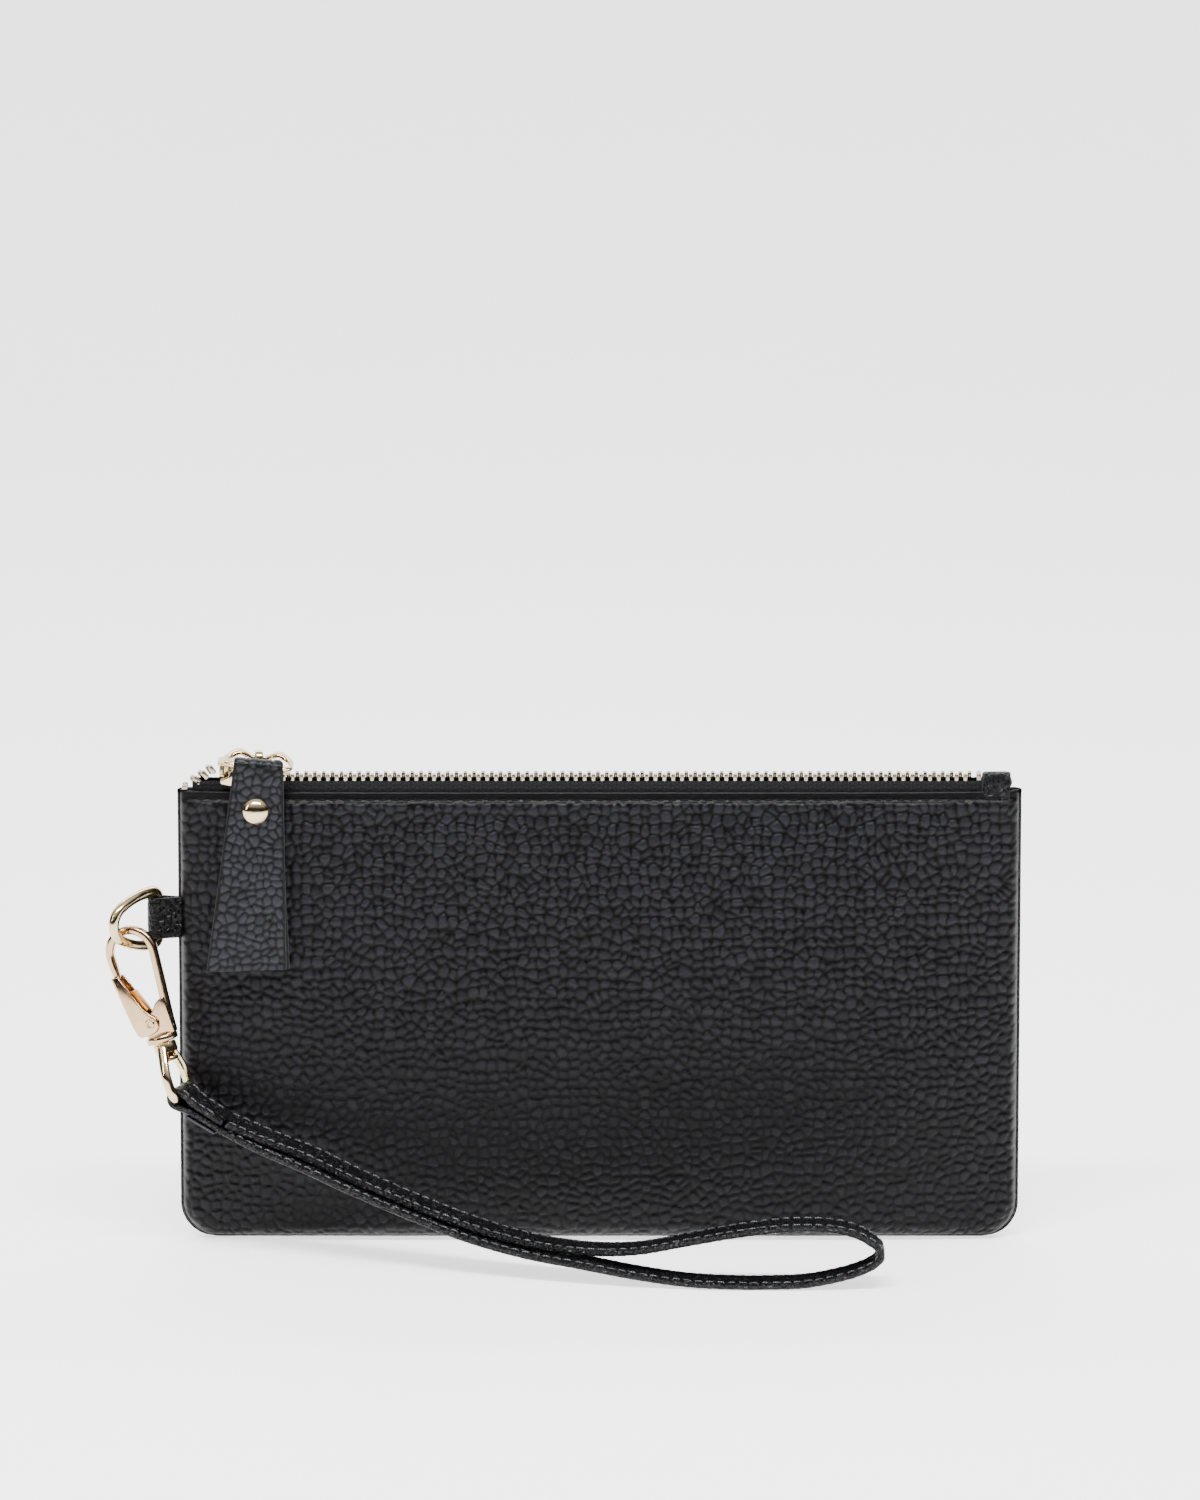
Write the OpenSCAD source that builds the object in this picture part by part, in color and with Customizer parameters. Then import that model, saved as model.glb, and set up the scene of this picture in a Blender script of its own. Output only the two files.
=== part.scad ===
// Wristlet wallet: a flat zip-top leather pouch with a leather-tabbed slider, a side D-ring,
// a swivel snap hook and a folded wrist strap. Millimetres, +X right, -Y front, +Z up.
// The origin is the middle of the bottom edge that the wallet stands on.

/* [Pouch] */
// Width of the pouch
body_w = 210; // [190:1:220]
// Height of the leather panels
body_h = 115; // [105:1:125]
// Radius of the two bottom corners
corner_r = 9; // [6:0.5:14]
// Half thickness at the sewn edge
edge_half = 2.4; // [2.4:0.1:3]
// Half thickness along the zip and the bottom edge
lip_half = 4.4; // [4.4:0.1:5]
// Extra half thickness of the filled middle
bulge = 5.6; // [3:0.1:6]
// Thickness of the panel leather
leather_t = 1.2; // [1:0.1:1.4]

/* [Zip] */
// Distance between teeth of one row
tooth_pitch = 2.2; // [2:0.1:2.6]
// Length of the slider
slider_len = 17.5; // [15:0.5:19]
// Left end of the slider when the zip is closed
slider_x = -94.8; // [-96:0.1:-92]

/* [Pull] */
// Length of the leather pull
pull_len = 51; // [40:1:55]
// Width of the pull at its fold
pull_top_w = 11.8; // [10:0.1:12.1]
// Width of the pull at its end
pull_end_w = 20; // [14:0.5:22]

/* [Clasp] */
// Wire radius of the D-ring
ring_r = 1.4; // [1.2:0.1:1.5]
// Depth of the D-ring from its bar to its nose
ring_depth = 14.8; // [13:0.1:16]
// Angle by which the D-ring swings towards the front
ring_swing = 45; // [35:1:55]
// Wire radius of the hook
hook_r = 1.1; // [1:0.05:1.2]

/* [Strap] */
// Width of the wrist strap
strap_w = 9; // [8:0.5:9.4]
// Thickness of one run of the strap
strap_t = 1.8; // [1.5:0.1:1.8]

/* [Hidden] */
$fn = 48;
eps = 0.05;
rim = 1.2;                       // half gap between the two panels at the seam
gap = 0.05;                      // clearance between layers
tape_t = 0.5;
lining_t = 0.35;
lining_off = leather_t + tape_t + 0.45;
lining_inset = 3.9;
chain_z = body_h + 3;            // height of the middle of the teeth
tooth_w = 0.95;
tooth_h = 2;
tooth_out = 2.25;                // outer end of a tooth from the middle plane
tooth_in = 0.35;                 // the teeth stop here, so that the slider's wedge passes
chain_end = 92.6;
hump_x = -84;                    // left of this the chain rises into the slider
hump_rise = 2;

// slider
plate_top_l = 4.6;
plate_top_r = 2.4;
roof_l = 3.3;
roof_r = 1.2;
lip_l = -0.6;
lip_r = -1.9;
crown_x = -84.6;
loop_r = 0.65;                   // wire radius of the pull ring
loop_z = 4.75;                   // height of its back bar above the chain
loop_w = 16.1;                   // between the middles of its side limbs
loop_d = 8;                      // between the middles of its two bars
loop_tilt = 5;
loop_slope = 4;
pull_lean = -4.5;
pull_skew = 1.6;                 // sideways run of the pull over its length
fold_r = loop_r + 0.1;
pull_t = 1.3;
rivet_z = -11;

// side tab and clasp
tab_x = -110.15;
tab_z = 82.25;
tab_h = 10.3;
tab_bore = ring_r + 0.06;
tab_r = tab_bore + leather_t;
ring_half = 6.75;
nose_r = 4.6;
elbow_r = 1.9;
side_run = ring_depth - nose_r - elbow_r;
side_r = (side_run * side_run + ring_half * ring_half - nose_r * nose_r)
    / (2 * (ring_half - nose_r));
hang = [-117.2, -7, 77.05];       // where the hook hangs on the D-ring's wire
hook_lean = -19.7;
hook_tilt = -8;
hook_yaw = -18;
arch_r = 5.9;
arch_z = 3.3 - arch_r;
rivet = [-0.9, -20.7];
rivet_r = 0.9;
body_half = 1.4;                 // half thickness of the hook's base
cheek = 0.7;                     // thickness of the gate's two cheeks
collar_z = -26;
stem_r = 1.3;
eye_z = -40.5;                   // middle of the eye's bar
eye_half = 5.8;
eye_r = 1;
strap_dir = [0.845, -0.28, -0.457];
sewn_len = 13;

// the strap's route: the upper run, the turn at its far end, the lower run
route = [
    [-92.39, -16.77, 34.25], [-88, -17.1, 32.4], [-84, -17.5, 30.7], [-78, -18.7, 28.5],
    [-72, -20.2, 26.5], [-60, -23.5, 21.4], [-46, -27.5, 16.2], [-32, -32.2, 11.9],
    [-18, -36.6, 8.8], [-4, -40.4, 7.6], [9, -43.2, 8.3], [22, -45.6, 11.2],
    [34, -47.3, 13.8], [46, -48.3, 15.5], [56, -48.5, 15.5], [62.5, -48.5, 14.2],
    [67, -48.5, 11.8], [69.3, -48.5, 9.2], [68, -48.5, 6.6], [63.5, -48.5, 4.3],
    [57, -48.5, 2.5], [50, -48.5, 1.3], [42, -48.4, 0.95], [34, -48.4, 0.95],
    [22, -47.7, 1.4], [9, -45.8, 2.8], [-4, -43.2, 4.7], [-18, -39.4, 6.5],
    [-32, -35, 9.5], [-46, -30.3, 13.9], [-60, -26.3, 19], [-72, -23, 23.9],
    [-78, -21.3, 26.1], [-84, -19.3, 28.3], [-88.5, -17.8, 30.3], [-93.26, -16.5, 32.47]];

// ---- shape of the pouch ----
function side_fade(x) = pow(max(0, 1 - pow(abs(x) / (body_w / 2), 6)), 0.8);
function mid_half(z) = lip_half + bulge * sin(180 * pow(max(0, min(1, z / body_h)), 0.8));
function half_at(x, z) = edge_half + (mid_half(z) - edge_half) * side_fade(x);
function foot(x, inset) =
    let (r = corner_r - inset, run = abs(x) - (body_w / 2 - corner_r))
    inset + (run <= 0 ? 0 : r - sqrt(max(0, r * r - run * run)));

// stations across the pouch, closer together at both ends
function stations(half, n) = [for (i = [0 : n]) half * cos(180 * i / n)];

// a closed solid through rings of points, with its two end faces
module sweep(rings) {
    n = len(rings[0]);
    m = len(rings);
    points = [for (r = rings) for (p = r) p];
    sides = [for (i = [0 : m - 2]) for (j = [0 : n - 1])
        each [[i * n + j, i * n + (j + 1) % n, (i + 1) * n + (j + 1) % n],
              [i * n + j, (i + 1) * n + (j + 1) % n, (i + 1) * n + j]]];
    k = (m - 1) * n;
    first = [for (j = [0 : n / 2 - 2]) [j + 1, j, n - 1 - j, n - 2 - j]];
    last = [for (j = [0 : n / 2 - 2]) [k + j, k + j + 1, k + n - 2 - j, k + n - 1 - j]];
    polyhedron(points, concat(first, sides, last), convexity = 6);
}

// one half of a pouch layer: a dish open at the top, whose rim faces the middle plane
module dish(side, off, wall, inset, edge, top, n, rows) {
    half = body_w / 2 - inset;
    xs = stations(-side * half, n);
    sweep([for (x = xs)
        let (low = foot(x, inset),
             low_in = max(foot(min(abs(x), half - wall), inset + wall), low + 0.4))
        concat(
            [for (i = [0 : rows])
                let (z = top + (low - top) * i / rows)
                    [x, side * max(edge + 0.35, half_at(x, z) - off), z]],
            [[x, side * edge, low], [x, side * edge, low_in]],
            [for (i = [0 : rows])
                let (z = low_in + (top - low_in) * i / rows)
                    [x, side * max(edge + 0.15, half_at(x, z) - off - wall), z]])]);
}

// a sheet that follows the pouch's inside at a distance
module patch(x1, x2, z1, z2, off, t) {
    n = 24;
    rows = 6;
    sweep([for (i = [0 : n])
        let (x = x1 + (x2 - x1) * i / n)
        concat(
            [for (k = [0 : rows]) let (z = z2 + (z1 - z2) * k / rows) [x, half_at(x, z) - off, z]],
            [for (k = [0 : rows])
                let (z = z1 + (z2 - z1) * k / rows) [x, half_at(x, z) - off - t, z]])]);
}

// ---- pouch ----
module front_panel() {
    color("#17171b") dish(-1, 0, leather_t, 0, rim, body_h, 28, 9);
}

module back_panel() {
    color("#17171b") dish(1, 0, leather_t, 0, rim, body_h, 28, 9);
}

module front_lining() {
    color("#26262a") dish(-1, lining_off, lining_t, lining_inset, 0.1, body_h - 1.5, 28, 8);
}

module back_lining() {
    color("#26262a") dish(1, lining_off, lining_t, lining_inset, 0.1, body_h - 1.5, 28, 8);
}

module card_pocket() {
    color("#2c2c31")
        patch(-88, 88, 14, 84, lining_off + lining_t + 0.15, 0.5);
}

module pouch_outline(inset) {
    r = corner_r - inset;
    w = body_w / 2 - inset;
    union() {
        translate([-w, corner_r]) square([2 * w, body_h - corner_r - 6]);
        translate([-w + r, inset]) square([2 * (w - r), body_h - inset - 6]);
        for (side = [-1, 1])
            translate([side * (w - r), corner_r]) circle(r);
    }
}

module edge_welt() {
    color("#101013")
    difference() {
        rotate([90, 0, 0]) translate([0, 0, -rim + gap])
            linear_extrude(2 * (rim - gap)) difference() {
                pouch_outline(0);
                pouch_outline(3.2);
                translate([-body_w / 2 + 4, body_h - 12]) square([body_w - 8, 20]);
            }
        translate([-body_w / 2 - 1, -5, tab_z - tab_h / 2 - 0.1])
            cube([6, 10, tab_h + 0.2]);
    }
}

module stitch_row(z, front) {
    pitch = 3;
    count = 64;
    for (i = [0 : count - 1]) {
        x = (i - (count - 1) / 2) * pitch;
        y = half_at(x, z) + 0.06;
        translate([x - 1.1, front ? -y - 0.25 : y, z]) cube([2.2, 0.25, 0.5]);
    }
}

module topstitch_front() {
    color("#0c0c0e") stitch_row(body_h - 1.9, true);
}

module topstitch_back() {
    color("#0c0c0e") stitch_row(body_h - 1.9, false);
}

// ---- zip ----
module zip_tape(side) {
    n = 40;
    x1 = side < 0 ? -101 : 95.2;
    x2 = side < 0 ? 95.2 : -101;
    color("#0e0e11")
    sweep([for (i = [0 : n])
        let (x = x1 + (x2 - x1) * i / n,
             y = half_at(x, body_h) - leather_t - 0.2,
             low = half_at(x, body_h - 9) - leather_t - 0.25)
        [[x, side * low, body_h - 9], [x, side * y, body_h + 0.2],
         [x, side * (tooth_out + tape_t + gap), chain_z - 0.6],
         [x, side * (tooth_out + gap), chain_z - 0.6],
         [x, side * (y - tape_t), body_h], [x, side * (low - tape_t), body_h - 9]]]);
}

module zip_tape_front() {
    zip_tape(-1);
}

module zip_tape_back() {
    zip_tape(1);
}

function chain_rise(x) = x < hump_x ? hump_rise * pow((hump_x - x) / (hump_x - slider_x), 1.5) : 0;

module tooth(x, z, turn) {
    translate([x, 0, z]) rotate([0, turn, 0])
        translate([-tooth_w / 2, -tooth_out, -tooth_h / 2])
            cube([tooth_w, tooth_out - tooth_in, tooth_h]);
}

// the row that is in mesh, and the last teeth that bend down to the corner
module teeth_row(shift) {
    first = slider_x + 0.9 + shift;
    count = floor((chain_end - first) / tooth_pitch);
    for (i = [0 : count])
        let (x = first + i * tooth_pitch) tooth(x, chain_z + chain_rise(x), 0);
    for (i = [0 : 2])
        tooth(slider_x - 1.4 - i * 1.9 - shift * 0.8,
              chain_z + 2.1 - i * 1.3 - shift * 0.55, -36);
}

module zip_teeth_front() {
    color("#d8c9a6") teeth_row(0);
}

module zip_teeth_back() {
    color("#d8c9a6") mirror([0, 1, 0]) teeth_row(tooth_pitch / 2);
}

module zip_top_stops() {
    color("#d8c9a6")
    for (side = [-1, 1])
        translate([-103.8, side * 1.35 - 0.8, body_h + 0.1]) cube([1.5, 1.6, 1.2]);
}

module zip_bottom_stop() {
    color("#d8c9a6")
    translate([chain_end + 1.1, -2, chain_z - 1.1]) difference() {
        cube([1.2, 4, 2.2]);
        translate([-1, 0.8, -1]) cube([4, 2.4, 1.9]);
    }
}

module zip_end_tab() {
    color("#17171b") {
        rotate([90, 0, 0]) translate([0, 0, -2.6]) linear_extrude(5.2) union() {
            translate([95.3, body_h + gap]) square([5.4, 4]);
            translate([95.3, body_h + gap]) square([7, 2.4]);
            translate([100.7, body_h + gap + 2.4]) circle(1.6);
        }
        translate([96, -0.6, body_h - 6]) cube([4, 1.2, 6.1]);
    }
}

// ---- side tab ----
module ring_tab() {
    reach = -body_w / 2 + 3.2;
    low = tab_z - tab_h / 2;
    color("#17171b")
    difference() {
        translate([0, 0, low]) linear_extrude(tab_h) union() {
            translate([tab_x, 0]) circle(tab_r);
            polygon([[tab_x, -tab_r], [-105.6, -rim + gap], [reach, -rim + gap],
                     [reach, rim - gap], [-105.6, rim - gap], [tab_x, tab_r]]);
        }
        translate([tab_x, 0, low - 1]) cylinder(r = tab_bore, h = tab_h + 2);
    }
}

// ---- slider ----
module side_profile(points, half) {
    rotate([90, 0, 0]) translate([0, 0, -half]) linear_extrude(2 * half) polygon(points);
}

module slider_body() {
    x1 = slider_x;
    x2 = slider_x + slider_len;
    knee = hump_x + 0.5;
    color("#e0cdb0")
    translate([0, 0, chain_z]) {
        intersection() {
            side_profile([[x1, roof_l], [x1, plate_top_l - 0.6], [x1 + 0.6, plate_top_l],
                          [x2 - 1.6, plate_top_r], [x2, plate_top_r - 1], [x2, roof_r], [knee, roof_r]], 5);
            translate([0, 0, -1]) linear_extrude(8)
                polygon([[x1, -4.2], [x1 + 2, -4.6], [x2 - 5, -4.4], [x2, -2.8],
                         [x2, 2.8], [x2 - 5, 4.4], [x1 + 2, 4.6], [x1, 4.2]]);
        }
        for (side = [-1, 1])
            translate([0, side * 4.07, 0])
                side_profile([[x1 + 1, lip_l], [x1 + 1, roof_l + 0.2], [knee, roof_r + 0.2],
                              [x2 - 4.6, roof_r + 0.2], [x2 - 4.6, lip_r], [x1 + 7, lip_r + 0.2]], 0.45);
        side_profile([[x1 + 0.6, -2.3], [x1, -1.7], [x1, -1.15], [x2, -1.15], [x2, -1.7], [x2 - 0.6, -2.3]], 1.7);
        side_profile([[x1, -1.3], [x1, roof_l + 0.2], [x1 + 3.2, roof_l], [x1 + 3.2, -1.3]], 0.25);
    }
}

module slider_crown() {
    window = loop_r + 0.25;
    color("#e0cdb0")
    translate([crown_x, 0, chain_z + loop_z]) rotate([0, 90, 0])
        linear_extrude(2, center = true) difference() {
            union() {
                circle(1.9);
                translate([0, -1.9]) square([1.55, 3.8]);
            }
            circle(window);
        }
}

// ---- pull ring and leather pull ----
module at_loop() {
    translate([crown_x, 0, chain_z + loop_z]) rotate([0, loop_tilt, 0]) rotate([loop_slope, 0, 0])
        children();
}

module wire(length, radius) {
    rotate([0, 90, 0]) cylinder(r = radius, h = length, center = true);
}

module pull_ring() {
    front_r = 1.8;
    back_r = 3.4;
    hw = loop_w / 2;
    color("#e6d3b4")
    at_loop() {
        wire(2 * (hw - back_r), loop_r);
        translate([0, -loop_d, 0]) wire(2 * (hw - front_r), loop_r);
        for (side = [-1, 1]) {
            translate([side * hw, -(loop_d - front_r), 0]) rotate([-90, 0, 0])
                cylinder(r = loop_r, h = loop_d - front_r - back_r);
            translate([side * (hw - back_r), -back_r, 0]) rotate([0, 0, side > 0 ? 0 : 90])
                rotate_extrude(angle = 90) translate([back_r, 0]) circle(loop_r);
            translate([side * (hw - front_r), -(loop_d - front_r), 0]) rotate([0, 0, side > 0 ? -90 : 180])
                rotate_extrude(angle = 90) translate([front_r, 0]) circle(loop_r);
        }
    }
}

// places the pull's own frame: its fold at the origin, hanging down -Z, front at -Y
module at_pull() {
    at_loop() translate([0, -loop_d, 0]) rotate([-loop_slope + pull_lean, 0, 0])
        children();
}

module pull_leather() {
    outer = fold_r + pull_t;
    half_gap = 0.12;
    color("#1a1a1e")
    at_pull() difference() {
        intersection() {
            rotate([90, 0, 90]) translate([0, 0, -15]) linear_extrude(30) difference() {
                union() {
                    circle(outer);
                    polygon([[-outer, 0], [-half_gap - pull_t, -5], [-half_gap - pull_t, -pull_len - 2],
                             [half_gap + pull_t, -pull_len - 2], [half_gap + pull_t, -5], [outer, 0]]);
                }
                circle(fold_r);
                translate([-half_gap, -pull_len - 3]) square([2 * half_gap, pull_len + 3]);
            }
            rotate([90, 0, 0]) translate([0, 0, -5]) linear_extrude(10)
                polygon([[-pull_top_w / 2, 4], [pull_skew - pull_end_w / 2, -pull_len - 0.9],
                         [pull_skew + pull_end_w / 2, -pull_len + 0.9], [pull_top_w / 2, 4]]);
        }
        translate([0, 5, rivet_z]) rotate([90, 0, 0]) cylinder(r = 1.5, h = 10);
    }
}

module pull_rivet_cap() {
    face = 0.12 + pull_t + 0.02;
    color("#eadcc0")
    at_pull() translate([0, -face, rivet_z]) rotate([90, 0, 0]) {
        intersection() {
            translate([0, 0, -3.6]) sphere(4.9);
            cylinder(r = 3.35, h = 3);
        }
        translate([0, 0, -2.2]) cylinder(r = 0.8, h = 2.4);
    }
}

module pull_rivet_post() {
    face = 0.12 + pull_t + 0.02;
    color("#d8c9a6")
    at_pull() translate([0, face, rivet_z]) rotate([90, 0, 0]) {
        translate([0, 0, -0.5]) cylinder(r = 3, h = 0.5);
        difference() {
            translate([0, 0, -0.1]) cylinder(r = 1.45, h = 2 * face - 0.1);
            translate([0, 0, 0.3]) cylinder(r = 0.84, h = 4);
        }
    }
}

// ---- D-ring ----
module bend(radius, start, sweep_angle, r) {
    rotate([0, 0, start]) rotate_extrude(angle = sweep_angle) translate([radius, 0]) circle(r);
}

// the elbows and the nose are a hair thinner, and reach 0.15 into the pieces that they join
module d_ring() {
    turn = asin(side_run / (side_r - nose_r));
    more = 4.5;
    more_nose = 1.9;
    thin = ring_r - 0.02;
    color("#e2d6bc")
    translate([tab_x, 0, tab_z]) rotate([0, 0, ring_swing]) rotate([90, 0, 0]) {
        rotate([90, 0, 0]) cylinder(r = ring_r, h = 2 * (ring_half - elbow_r), center = true);
        for (side = [-1, 1]) {
            translate([-elbow_r, side * (ring_half - elbow_r)])
                bend(elbow_r, (side > 0 ? 0 : 270) - more, 90 + 2 * more, thin);
            translate([-elbow_r, side * (ring_half - side_r)])
                bend(side_r, side > 0 ? 90 : 270 - turn, turn, ring_r);
        }
        translate([-(ring_depth - nose_r), 0])
            bend(nose_r, 90 + turn - more_nose, 180 - 2 * turn + 2 * more_nose, thin);
    }
}

// ---- snap hook ----
// the hook's own frame: the D-ring's wire at the origin, the eye at -Z, faces at +Y and -Y
module at_hook() {
    translate(hang) rotate([0, hook_lean, 0]) rotate([hook_tilt, 0, 0]) rotate([0, 0, hook_yaw])
        children();
}

module rod(a, b, r) {
    d = b - a;
    translate(a) rotate([0, atan2(norm([d[0], d[1]]), d[2]), atan2(d[1], d[0])])
        cylinder(r = r, h = norm(d));
}

module plate(points, half) {
    rotate([90, 0, 0]) translate([0, 0, -half]) linear_extrude(2 * half) polygon(points);
}

module hook_body() {
    color("#e2bf94")
    at_hook() difference() {
        union() {
            translate([0, 0, arch_z]) rotate([90, 0, 0])
                rotate_extrude(angle = 180) translate([arch_r, 0]) circle(hook_r);
            rod([arch_r, 0, arch_z], [3.3, 0, -22], hook_r);
            rod([-arch_r, 0, arch_z], [-arch_r, 0, -5.6], hook_r);
            plate([[0.6, -17.6], [2.6, -15.6], [4.9, -15], [4.3, -24.4], [-3.2, -24.4],
                   [-3, -22.6], [-2.6, -22.2], [-1.8, -20], [-1, -18.6]], body_half);
            translate([0, 0, collar_z]) cylinder(r = 4, h = 1.8);
            translate([0, 0, collar_z - 4.4]) cylinder(r = stem_r, h = 5);
            translate([0, 0, collar_z - 5]) cylinder(r = 2.3, h = 1.1);
        }
        translate([rivet[0], 5, rivet[1]]) rotate([90, 0, 0]) cylinder(r = rivet_r + 0.05, h = 10);
    }
}

module gate_lever() {
    out = body_half + 0.15;
    color("#e2bf94")
    at_hook() difference() {
        union() {
            for (side = [-1, 1])
                translate([0, side * (out + cheek / 2), 0]) {
                    plate([[-6.9, -7], [-4.9, -7], [-1.6, -16.6], [0.9, -18.9], [1.1, -20.7], [0.9, -22],
                           [-0.6, -23.4], [-4.6, -23.4], [-5.7, -20]], cheek / 2);
                }
            plate([[-6.9, -7], [-5.9, -7], [-4.8, -19.8], [-4.6, -21.6], [-5.4, -21.6], [-5.7, -20]], out + 0.2);
        }
        translate([rivet[0], 5, rivet[1]]) rotate([90, 0, 0]) cylinder(r = rivet_r + 0.05, h = 10);
    }
}

module gate_rivet() {
    out = body_half + 0.15 + cheek + 0.03;
    color("#e6cba6")
    at_hook() translate([rivet[0], 0, rivet[1]]) rotate([90, 0, 0]) {
        cylinder(r = rivet_r, h = 2 * out, center = true);
        for (side = [-1, 1])
            translate([0, 0, side * (out + 0.15)]) cylinder(r = 1.25, h = 0.3, center = true);
    }
}

module gate_spring() {
    color("#c8833c")
    at_hook() plate([[-3.5, -12], [-2.9, -12], [-0.9, -17.2], [-1.7, -17.9]], 1);
}

// ---- swivel eye ----
module swivel_eye() {
    knee = -34.5;
    color("#e6d3b4")
    at_hook() {
        difference() {
            translate([0, 0, collar_z - 2.9]) cylinder(r = 2.9, h = 2.7);
            translate([0, 0, collar_z - 4]) cylinder(r = stem_r + 0.08, h = 5);
        }
        for (side = [-1, 1]) {
            rod([0, side * 2.5, collar_z - 1.7], [0, side * eye_half, knee], eye_r);
            translate([0, side * eye_half, knee]) sphere(eye_r + 0.06);
            rod([0, side * eye_half, knee], [0, side * eye_half, eye_z], eye_r);
            translate([0, side * eye_half, eye_z]) sphere(eye_r + 0.06);
        }
        rod([0, -eye_half, eye_z], [0, eye_half, eye_z], eye_r);
    }
}

// ---- strap ----
function turn_y(p, a) = [p[0] * cos(a) + p[2] * sin(a), p[1], -p[0] * sin(a) + p[2] * cos(a)];
function turn_x(p, a) = [p[0], p[1] * cos(a) - p[2] * sin(a), p[1] * sin(a) + p[2] * cos(a)];
function turn_z(p, a) = [p[0] * cos(a) - p[1] * sin(a), p[0] * sin(a) + p[1] * cos(a), p[2]];
function from_hook(p) = hang + turn_y(turn_x(turn_z(p, hook_yaw), hook_tilt), hook_lean);
function unit(v) = v / norm(v);

eye_bar = from_hook([0, 0, eye_z]);
bar_dir = unit(from_hook([0, 1, eye_z]) - eye_bar);
fold_u = unit(strap_dir - (strap_dir * bar_dir) * bar_dir);
fold_n = cross(fold_u, bar_dir);

module at_fold() {
    multmatrix([[fold_u[0], bar_dir[0], fold_n[0], eye_bar[0]],
                [fold_u[1], bar_dir[1], fold_n[1], eye_bar[1]],
                [fold_u[2], bar_dir[2], fold_n[2], eye_bar[2]]]) children();
}

module strap_end() {
    bore = eye_r + 0.1;
    outer = bore + strap_t;
    color("#17171b")
    at_fold() rotate([90, 0, 0]) linear_extrude(strap_w, center = true) difference() {
        union() {
            circle(outer);
            polygon([[0.6, outer - 0.1], [5, strap_t + 0.1], [sewn_len - 0.05, strap_t + 0.1],
                     [sewn_len - 0.05, -strap_t - 0.9], [5, -strap_t - 1], [0.6, 0.1 - outer]]);
        }
        circle(bore);
    }
}

// Catmull-Rom curve through the route's points
function spline(p, i, t) =
    let (last = len(p) - 1, a = p[max(0, i - 1)], b = p[i], c = p[i + 1], d = p[min(last, i + 2)])
    0.5 * (2 * b + (c - a) * t + (2 * a - 5 * b + 4 * c - d) * t * t + (3 * b - a - 3 * c + d) * t * t * t);

function curve(p) = concat([for (i = [0 : len(p) - 2]) for (k = [0 : 1]) spline(p, i, k / 2)], [p[len(p) - 1]]);

// across the strap: level, and square to its route seen from above
function plan_slope(x) = x > 48 ? 0 : -0.4 * cos(90 * pow((x + 104) / 152, 1.15));
function across(x) = unit([-plan_slope(x), 1, 0]);

module wrist_strap() {
    line = curve(route);
    last = len(line) - 1;
    a = strap_w / 2;
    b = strap_t / 2;
    color("#17171b")
    sweep([for (i = [last : -1 : 0])
        let (along = i == 0 ? fold_u : i == last ? -fold_u : unit(line[i + 1] - line[i - 1]),
             w = i == 0 || i == last ? bar_dir : across(line[i][0]),
             n = unit(cross(along, w)))
        [for (c = [[-a, -b * 0.5], [-a + 0.3, -b], [a - 0.3, -b], [a, -b * 0.5],
                   [a, b * 0.5], [a - 0.3, b], [-a + 0.3, b], [-a, b * 0.5]])
            line[i] + w * c[0] + n * c[1]]]);
}

front_panel();
back_panel();
front_lining();
back_lining();
card_pocket();
edge_welt();
topstitch_front();
topstitch_back();
zip_tape_front();
zip_tape_back();
zip_teeth_front();
zip_teeth_back();
zip_top_stops();
zip_bottom_stop();
zip_end_tab();
ring_tab();
slider_body();
slider_crown();
pull_ring();
pull_leather();
pull_rivet_cap();
pull_rivet_post();
d_ring();
hook_body();
gate_lever();
gate_rivet();
gate_spring();
swivel_eye();
strap_end();
wrist_strap();
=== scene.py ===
"""A black leather wristlet wallet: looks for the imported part. Lengths are given in millimetres and
turned to metres where a mesh is made. +X runs along the zip, -Y is the front, +Z is up."""

import math

import bmesh
import bpy
import numpy as np
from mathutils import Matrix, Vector


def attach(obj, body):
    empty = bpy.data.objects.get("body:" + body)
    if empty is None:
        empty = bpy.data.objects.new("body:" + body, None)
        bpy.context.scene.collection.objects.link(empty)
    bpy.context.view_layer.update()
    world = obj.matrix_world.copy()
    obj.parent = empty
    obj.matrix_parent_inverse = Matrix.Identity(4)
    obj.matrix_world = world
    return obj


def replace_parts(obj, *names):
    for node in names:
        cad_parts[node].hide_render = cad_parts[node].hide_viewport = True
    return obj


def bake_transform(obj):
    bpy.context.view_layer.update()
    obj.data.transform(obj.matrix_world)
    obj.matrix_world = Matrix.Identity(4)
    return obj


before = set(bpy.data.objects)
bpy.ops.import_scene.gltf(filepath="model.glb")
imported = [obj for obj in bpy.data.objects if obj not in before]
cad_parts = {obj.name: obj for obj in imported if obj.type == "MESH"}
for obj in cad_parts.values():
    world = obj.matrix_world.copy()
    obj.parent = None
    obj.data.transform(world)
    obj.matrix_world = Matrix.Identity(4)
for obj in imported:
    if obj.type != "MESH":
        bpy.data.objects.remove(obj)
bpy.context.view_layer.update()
scene = bpy.context.scene
MM = 0.001

# ---------------------------------------------------------------- camera
ELEVATION = 12.0
DISTANCE = 2.5
target = Vector((0.00012, 0.0, 0.12476))
cam_data = bpy.data.cameras.new("camera")
cam_data.sensor_width = 36
cam_data.lens = 36 * DISTANCE / 0.37275
cam_data.clip_start, cam_data.clip_end = 0.05, 20
camera = bpy.data.objects.new("camera", cam_data)
scene.collection.objects.link(camera)
el = math.radians(ELEVATION)
camera.location = target + DISTANCE * Vector((0, -math.cos(el), math.sin(el)))
camera.rotation_mode = "QUATERNION"
camera.rotation_quaternion = (target - camera.location).to_track_quat("-Z", "Y")
scene.camera = camera


# ---------------------------------------------------------------- mesh helpers
def unit(v):
    v = np.asarray(v, float)
    return v / np.maximum(np.linalg.norm(v, axis=-1, keepdims=True), 1e-12)


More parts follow.
